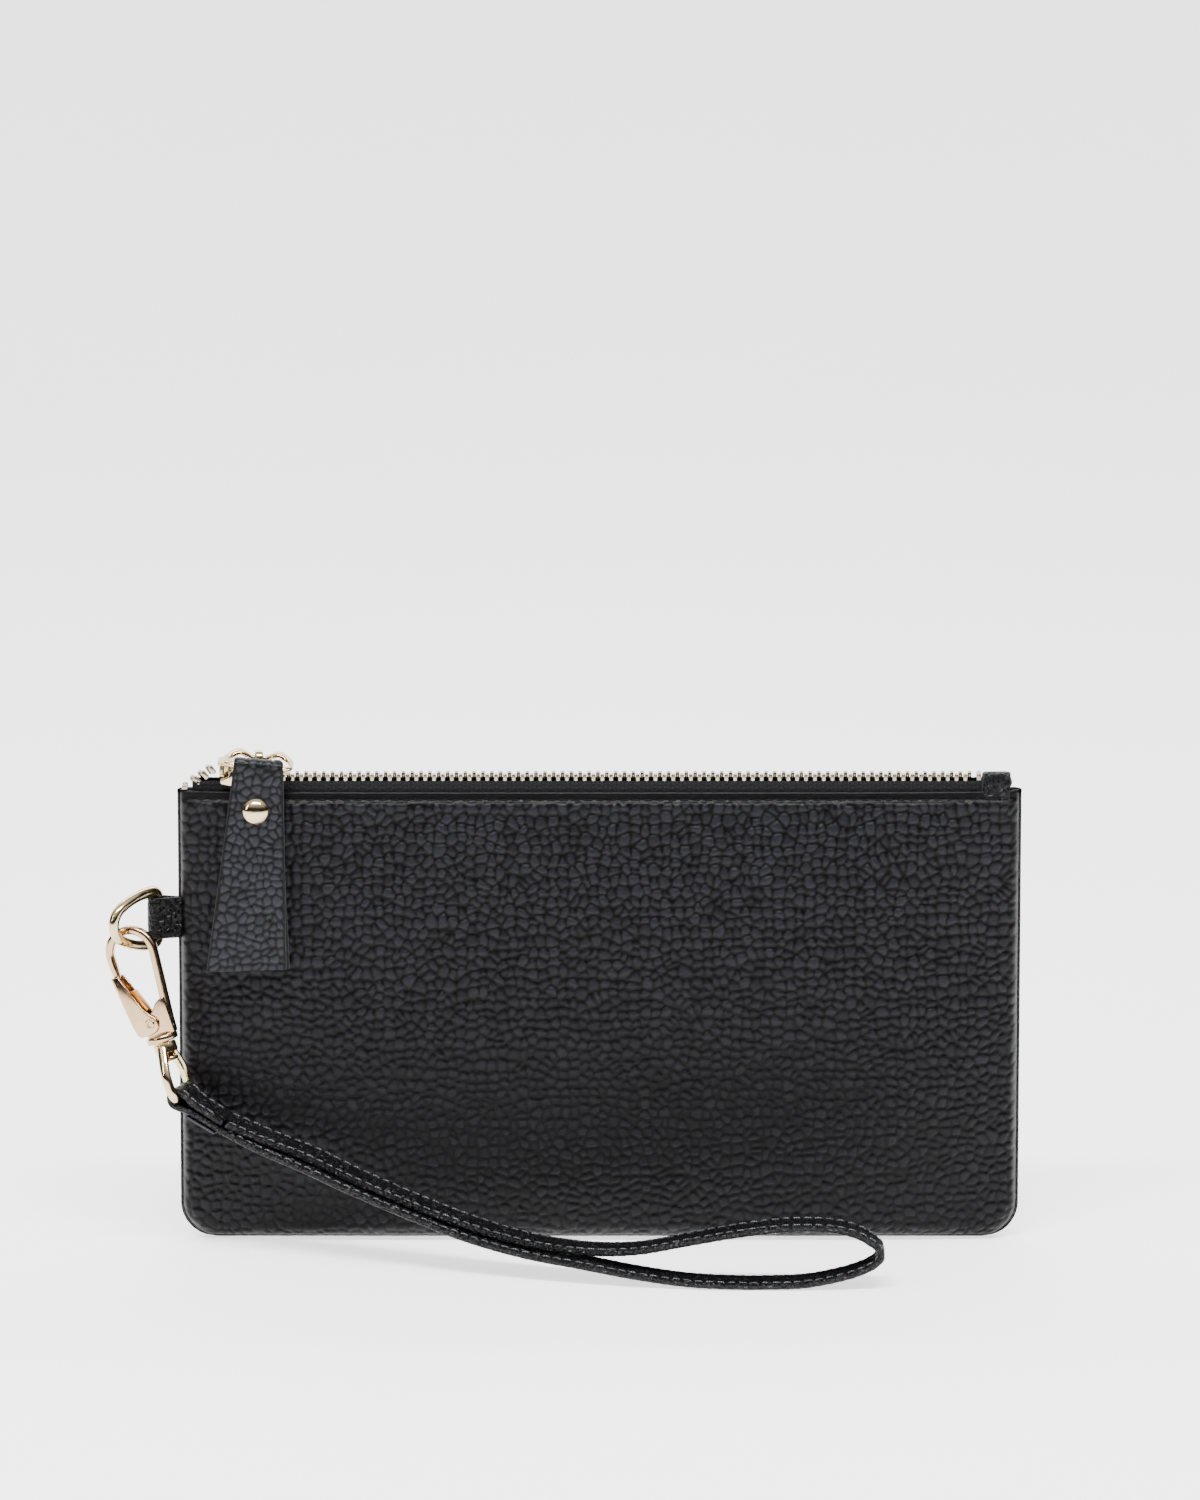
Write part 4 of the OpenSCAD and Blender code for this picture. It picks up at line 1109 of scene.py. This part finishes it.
fold = [(13.1, -1.0), (9, -1.0), (5.5, -1.05), (3.2, -1.3), (1.6, -1.75)]
for a in np.linspace(-70, -290, 14):
    fold.append((2.0 * math.cos(math.radians(a)), 2.0 * math.sin(math.radians(a))))
fold += [(1.6, 1.75), (3.2, 1.3), (5.5, 1.05), (9, 1.0), (13.1, 1.0)]
fold = resample(catmull([(u, 0, nn) for u, nn in fold], 6), 0.36)
fold_line = in_fold(fold[:, 0], fold[:, 2])
fold_piece, fl, fw, fn_, _ = ribbon("strap_fold", fold_line, np.tile(BAR_DIR, (len(fold_line), 1)),
                                     STRAP_W / 2 - 0.1, FOLD_T,
                                     [LEATHER_STRAP, LEATHER_STRAP], seed=41, grain=0.1)
place(fold_piece, "strap_root", "leather", "strap_end")
for edge, tag in ((-1, "a"), (1, "b")):
    row = stitches(f"strap_fold_stitch_{tag}", fl, fw, fn_, edge * (STRAP_W / 2 - STITCH_IN), FOLD_T / 2 - 0.2,
                   *STRAP_STITCH, THREAD_PAINTED_HIGHLIGHT)
    place(row, "strap_root", "thread")
short = resample(np.array([in_fold([4.2], [-2.55])[0], in_fold([12.4], [-2.35])[0]]), 0.4)
tail, *_ = ribbon("strap_tail", short, np.tile(BAR_DIR, (len(short), 1)), STRAP_W / 2 - 0.15, 0.9,
                  [LEATHER_STRAP, CUT_EDGE],
                  seed=43, grain=0.06, groove=0)
place(tail, "strap_root", "leather")

# ---------------------------------------------------------------- linings and pocket inside
for n_ in ("front_lining", "back_lining", "card_pocket"):
    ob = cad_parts[n_]
    ob.data.materials.clear()
    ob.data.materials.append(LINING)

# ---------------------------------------------------------------- floor and light
floor_mat, nt, bsdf = principled("floor_white")
co = nt.nodes.new("ShaderNodeTexCoord")
fine = noise(nt, co, 3.0, 2)
tint = ramp(nt, fine.outputs["Fac"], [(0.3, (0.93, 0.93, 0.935)), (0.7, (0.95, 0.95, 0.95))])
nt.links.new(tint.outputs["Color"], bsdf.inputs["Base Color"])
nt.links.new(tint.outputs["Color"], bsdf.inputs["Emission Color"])
bsdf.inputs["Emission Strength"].default_value = FLOOR_GLOW
bsdf.inputs["Roughness"].default_value = 0.85
bsdf.inputs["Specular IOR Level"].default_value = 0.1
rows = []
for y in np.linspace(-4000, 1500, 12):
    rows.append((y, 0.0))
for a in np.linspace(0, 90, 16)[1:]:
    rows.append((1500 + 900 * math.sin(math.radians(a)), 900 - 900 * math.cos(math.radians(a))))
for z in (1800, 3200):
    rows.append((2400, z))
verts = [(x, y, z - 0.02) for y, z in rows for x in np.linspace(-3500, 3500, 9)]
floor = make("floor", verts, grid_faces(len(rows), 9), floor_mat)

world = bpy.data.worlds.new("studio")
scene.world = world
world.use_nodes = True
wt = world.node_tree
bg = wt.nodes["Background"]
wc = wt.nodes.new("ShaderNodeTexCoord")
split = wt.nodes.new("ShaderNodeSeparateXYZ")
wt.links.new(wc.outputs["Generated"], split.inputs["Vector"])
sky = ramp(wt, split.outputs["Z"], [(0.3, (0.02, 0.02, 0.021)), (0.75, (0.9, 0.9, 0.92))])
wt.links.new(sky.outputs["Color"], bg.inputs["Color"])
bg.inputs["Strength"].default_value = 1.0


def area(name, loc, aim, size, power, color=(1, 1, 1)):
    data = bpy.data.lights.new(name, "AREA")
    data.shape = "RECTANGLE"
    data.size, data.size_y = size
    data.energy = power
    data.color = color
    ob = bpy.data.objects.new(name, data)
    ob.location = loc
    ob.rotation_mode = "QUATERNION"
    ob.rotation_quaternion = (Vector(aim) - Vector(loc)).to_track_quat("-Z", "Y")
    scene.collection.objects.link(ob)
    return ob


area("key_top", (0.0, -0.5, 0.95), (0, 0, 0.05), (0.9, 0.12), 22)
area("key_back", (0.0, 0.6, 0.8), (0, 0, 0.08), (0.9, 0.1), 5)
area("side_left", (-1.0, -0.5, 0.55), (0, 0, 0.06), (0.08, 0.5), 2.5)
